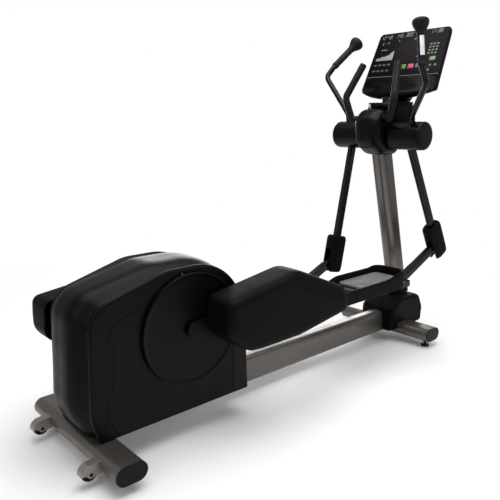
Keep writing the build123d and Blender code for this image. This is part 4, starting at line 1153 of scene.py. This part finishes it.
def make_keys():
    """The four large coloured keys, each on its own sliding body."""
    colours = {"key_start": (GREEN, "key_green"), "key_stop": (RED, "key_red"),
               "key_cool": (BLUE, "key_blue"), "key_enter": (GREEN, "key_green")}
    steps = smooth_line([(0.0040, 0.0), (-0.0022, 0.0), (-0.0036, 0.0006), (-0.0044, 0.0022),
                         (-0.0047, 0.0050), (-0.0047, 0.0085)], 2)
    for name, (y, z, width, height) in KEYS.items():
        key = to_object(f"{name}_cap", face_loft(rectangle(width, height, 0.005, (y, z), 6, 0.1), steps))
        colour, slot = colours[name]
        piece(key, "button_" + name.split("_")[1], colour, [name], CONSOLE, 50)


# ---------------------------------------------------------------- base and wheels
def make_base():
    """Cover over the mast's foot, cut out for the rail and the front stabiliser."""
    x0, x1 = REAR_X + 1.690, REAR_X + 1.982
    outline = Outline([(x0, 0.062), (x1 - 0.008, 0.062), (x1, 0.150), (x1 - 0.040, 0.226),
                       (x0 + 0.075, 0.236), (x0, 0.178)],
                      [0.004, 0.024, 0.045, 0.040, 0.060, 0.030], 12, 0.03)
    half = [(0.0, 0.0), (0.070, 0.0004), (0.086, 0.0020), (0.0950, 0.0060), (0.0998, 0.0120),
            (0.1012, 0.0190), (0.1014, 0.0240), (0.0995, 0.0262), (0.0990, 0.0300)]
    base = to_object("base_moulding", side_loft(outline, both_sides(half)))
    boolean(base, box_mesh((REAR_X, -0.0405, 0), (x1 - 0.018, 0.0405, 0.1658)))
    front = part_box("front_stabiliser")
    boolean(base, box_mesh((front[0].x - 0.0008, -THROUGH, 0), (front[1].x + 0.0008, THROUGH, 0.1048)))
    soften(base, 0.0012, 2, 40)
    piece(base, "frame", SATIN, ["base_cover"], None, 40)


def upright_loft(stations, radius, runs):
    """Skin a rounded oblong through stations of (height, rear face, depth, half-width)."""
    rings = []
    for z, x, deep, half in stations:
        corners = [(x, -half), (x + deep, -half), (x + deep, half), (x, half)]
        rings.append(in_xy(Outline(corners, [radius] * 4, 8, 0.03, runs).ring(), z))
    return loft(rings)


def make_neck():
    """Neck between the cups and the console's back, flaring above the cups, with a web behind them."""
    neck = [(1.2402, 0.705, 0.086, 0.022), (1.250, 0.712, 0.084, 0.024), (1.264, 0.722, 0.082, 0.032),
            (1.280, 0.736, 0.080, 0.052), (1.296, 0.752, 0.078, 0.072), (1.312, 0.770, 0.074, 0.080),
            (1.330, 0.792, 0.066, 0.082)]
    web = [(1.205, 0.8060, 0.026, 0.036), (1.237, 0.8110, 0.034, 0.050), (1.277, 0.8180, 0.044, 0.070),
           (1.300, 0.8220, 0.050, 0.080), (1.345, 0.8300, 0.060, 0.086)]
    obj = to_object("console_neck_moulding", upright_loft(neck, 0.016, [2, 3, 2, 3]))
    boolean(obj, upright_loft(web, 0.010, [2, 5, 2, 5]), "UNION")
    for x, low in ((0.049, -0.002), (0.0195, -0.056)):
        boolean(obj, moved(box_mesh((-THROUGH, -THROUGH, low), (x, THROUGH, 0.5)), CONSOLE))
    piece(obj, "frame", HEAD, ["console_neck"], None, 50)


WHEEL = Vector((REAR_X - 0.086, 0.192, 0.051))


def make_wheel_hoods():
    """Pressed hood over each transport wheel, with a cheek on both sides carrying the axle."""
    out, thick, half = 0.0339, 0.0030, 0.0175
    rear = REAR_X - 0.038
    arc = [math.radians(178 - 92 * k / 20) for k in range(21)]
    ramp = [Vector((WHEEL.x + 0.030, WHEEL.z + out + 0.0025)), Vector((rear, WHEEL.z + out + 0.0060))]
    top = arc_points(WHEEL.x, WHEEL.z, out, arc) + ramp
    under = arc_points(WHEEL.x, WHEEL.z, out - thick, arc)
    under += [point - Vector((0.0, thick)) for point in ramp]
    edge = both_sides([(0.0, 0.0), (half - 0.0016, 0.0), (half - 0.0006, 0.0003), (half, 0.0012)])
    strip = []
    for y, inset in edge:
        outer = [p.lerp(q, inset / thick) for p, q in zip(top, under)]
        inner = [q.lerp(p, inset / thick) for p, q in zip(top, under)]
        strip.append(in_xz(outer + inner[::-1], y))
    cheek_top = [p.lerp(q, 0.5) for p, q in zip(top, under)]
    boss = arc_points(WHEEL.x, WHEEL.z, 0.0125, [math.radians(200 + 12 * k) for k in range(9)])
    lower = [Vector((rear, WHEEL.z - 0.006)), Vector((WHEEL.x + 0.026, WHEEL.z - 0.008))]
    cheek = cheek_top + lower + boss[::-1] + [Vector((WHEEL.x - 0.0215, WHEEL.z + 0.0025))]
    parts = {"hoods": [], "bolts": []}
    for sign in SIDES.values():
        y = sign * WHEEL.y
        parts["hoods"].append(put(loft(strip), (0, y, 0)))
        for flank in (-1, 1):
            plate_in, plate_out = y + flank * 0.0135, y + flank * 0.0168
            parts["hoods"].append(loft([in_xz(cheek, plate_in), in_xz(cheek, plate_out)]))
            bolt = to_side(turned_y(screw(0.0062, 0.0034)), flank)
            parts["bolts"].append(put(bolt, (WHEEL.x, plate_out, WHEEL.z)))
    hoods = join("wheel_hoods", parts["hoods"])
    piece(hoods, "frame", ZINC, ["wheel_brackets"], None, 30)
    piece(join("wheel_bolts", parts["bolts"]), "frame", FOOT, ["wheel_axles"], None, 40)


def make_wheels():
    """Hard tyre on a hub with a recessed web."""
    low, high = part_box("transport_wheel_right")
    radius, half = (high.x - low.x) / 2, (high.y - low.y) / 2
    profile = [(0.0045, -half), (0.0100, -half), (0.0105, -half + 0.0035), (0.0185, -half + 0.0040),
               (0.0192, -half + 0.0006), (0.0200, -half), (0.0240, -half), (radius - 0.0018, -half + 0.0020),
               (radius - 0.0003, -half + 0.0055), (radius, 0.0)]
    profile = profile + [(r, -h) for r, h in reversed(profile[:-1])]
    for side, sign in SIDES.items():
        bm = put(turned_y(lathe(profile, 72)), (WHEEL.x, sign * WHEEL.y, WHEEL.z))
        wheel = to_object(f"transport_tyre_{side}", bm)
        piece(wheel, f"wheel_{side}", FOOT, [f"transport_wheel_{side}"], None, 40)


# ---------------------------------------------------------------- stage
FLOOR_RADIUS, FADE_START, FADE_END = 4.0, 1.5, 2.9
WHITE = (1.0, 1.0, 1.0, 1.0)
WORLD_STRENGTH = 0.42
LENS_MM, SENSOR_MM = 41.94, 36.0
CAMERA_PLACE = (-1.7747, -1.7851, 1.1526)
CAMERA_YAW, CAMERA_PITCH = math.radians(48.325), math.radians(-12.439)


def make_stage():
    """Round pale floor that fades into the backdrop well away from the machine."""
    bm = bmesh.new()
    bmesh.ops.create_circle(bm, cap_ends=True, segments=128, radius=FLOOR_RADIUS)
    floor = to_object("floor", bm)
    n = Nodes("floor_white")
    cloud = n.noise(1.4, 2.0)
    white = n.mixed(n.ranged(cloud, 0.0, 1.0), (0.90, 0.90, 0.90), (0.93, 0.93, 0.93))
    n.link(white, n.shader.inputs["Base Color"])
    n.link(n.ranged(n.noise(9.0, 3.0), 0.6, 0.72), n.shader.inputs["Roughness"])
    n.bump(n.noise(420.0, 2.0), 0.00005)
    distance = n.add("ShaderNodeVectorMath", operation="LENGTH")
    n.link(n.where, distance.inputs[0])
    n.link(n.ranged(distance.outputs["Value"], 1.0, 0.0, FADE_START, FADE_END), n.shader.inputs["Alpha"])
    n.set(Specular_IOR_Level=0.08)
    floor.data.materials.append(n.material)


def area_light(name, place, target, size, power, height=None):
    light = bpy.data.lights.new(name, "AREA")
    light.shape = "RECTANGLE"
    light.size = size
    light.size_y = height or size
    light.energy = power
    obj = bpy.data.objects.new(name, light)
    obj.location = place
    obj.rotation_euler = (Vector(target) - Vector(place)).to_track_quat("-Z", "Y").to_euler()
    obj.visible_camera = False
    bpy.context.scene.collection.objects.link(obj)


def make_lights():
    """Soft white surroundings, a plain white backdrop for the camera, and four panels."""
    world = bpy.data.worlds.new("studio")
    world.use_nodes = True
    tree = world.node_tree
    soft = tree.nodes["Background"]
    soft.inputs["Color"].default_value = WHITE
    soft.inputs["Strength"].default_value = WORLD_STRENGTH
    backdrop = tree.nodes.new("ShaderNodeBackground")
    backdrop.inputs["Color"].default_value = WHITE
    path = tree.nodes.new("ShaderNodeLightPath")
    choose = tree.nodes.new("ShaderNodeMixShader")
    tree.links.new(path.outputs["Is Camera Ray"], choose.inputs["Fac"])
    tree.links.new(soft.outputs["Background"], choose.inputs[1])
    tree.links.new(backdrop.outputs["Background"], choose.inputs[2])
    tree.links.new(choose.outputs["Shader"], tree.nodes["World Output"].inputs["Surface"])
    bpy.context.scene.world = world
    area_light("overhead", (-0.2, -0.3, 3.6), (0.0, 0.0, 0.0), 3.4, 125.0)
    area_light("far_low", (2.7, 3.0, 1.3), (0.0, 0.0, 0.4), 3.6, 75.0, 1.3)
    area_light("near_fill", (-3.2, -1.0, 1.8), (0.0, 0.0, 0.5), 1.6, 10.0)
    area_light("side_fill", (1.6, -3.0, 2.0), (0.3, 0.0, 0.6), 1.6, 16.0)


def make_camera():
    camera = bpy.data.cameras.new("camera")
    camera.sensor_width = SENSOR_MM
    camera.lens = LENS_MM
    obj = bpy.data.objects.new("camera", camera)
    obj.location = CAMERA_PLACE
    level = math.cos(CAMERA_PITCH)
    ahead = Vector((level * math.cos(CAMERA_YAW), level * math.sin(CAMERA_YAW), math.sin(CAMERA_PITCH)))
    obj.rotation_euler = ahead.to_track_quat("-Z", "Y").to_euler()
    bpy.context.scene.collection.objects.link(obj)
    bpy.context.scene.camera = obj
    bpy.context.scene.view_settings.view_transform = "Standard"


make_camera()
make_lights()
make_stage()
dress_cad_nodes()
make_shroud()
make_discs()
for side, sign in SIDES.items():
    make_lever_cover(side, sign)
    make_tray(side, sign)
    make_pad(side, sign)
    make_pedal_screws(side, sign)
    make_link(side, sign)
    make_hub(side, sign)
    make_boot(side, sign)
    make_grip(side, sign)
    make_sensor(side, sign)
make_head()
make_cups()
make_handle_rings()
make_console()
make_display()
make_membrane_keys()
make_ledge()
make_keys()
make_base()
make_neck()
make_wheel_hoods()
make_wheels()
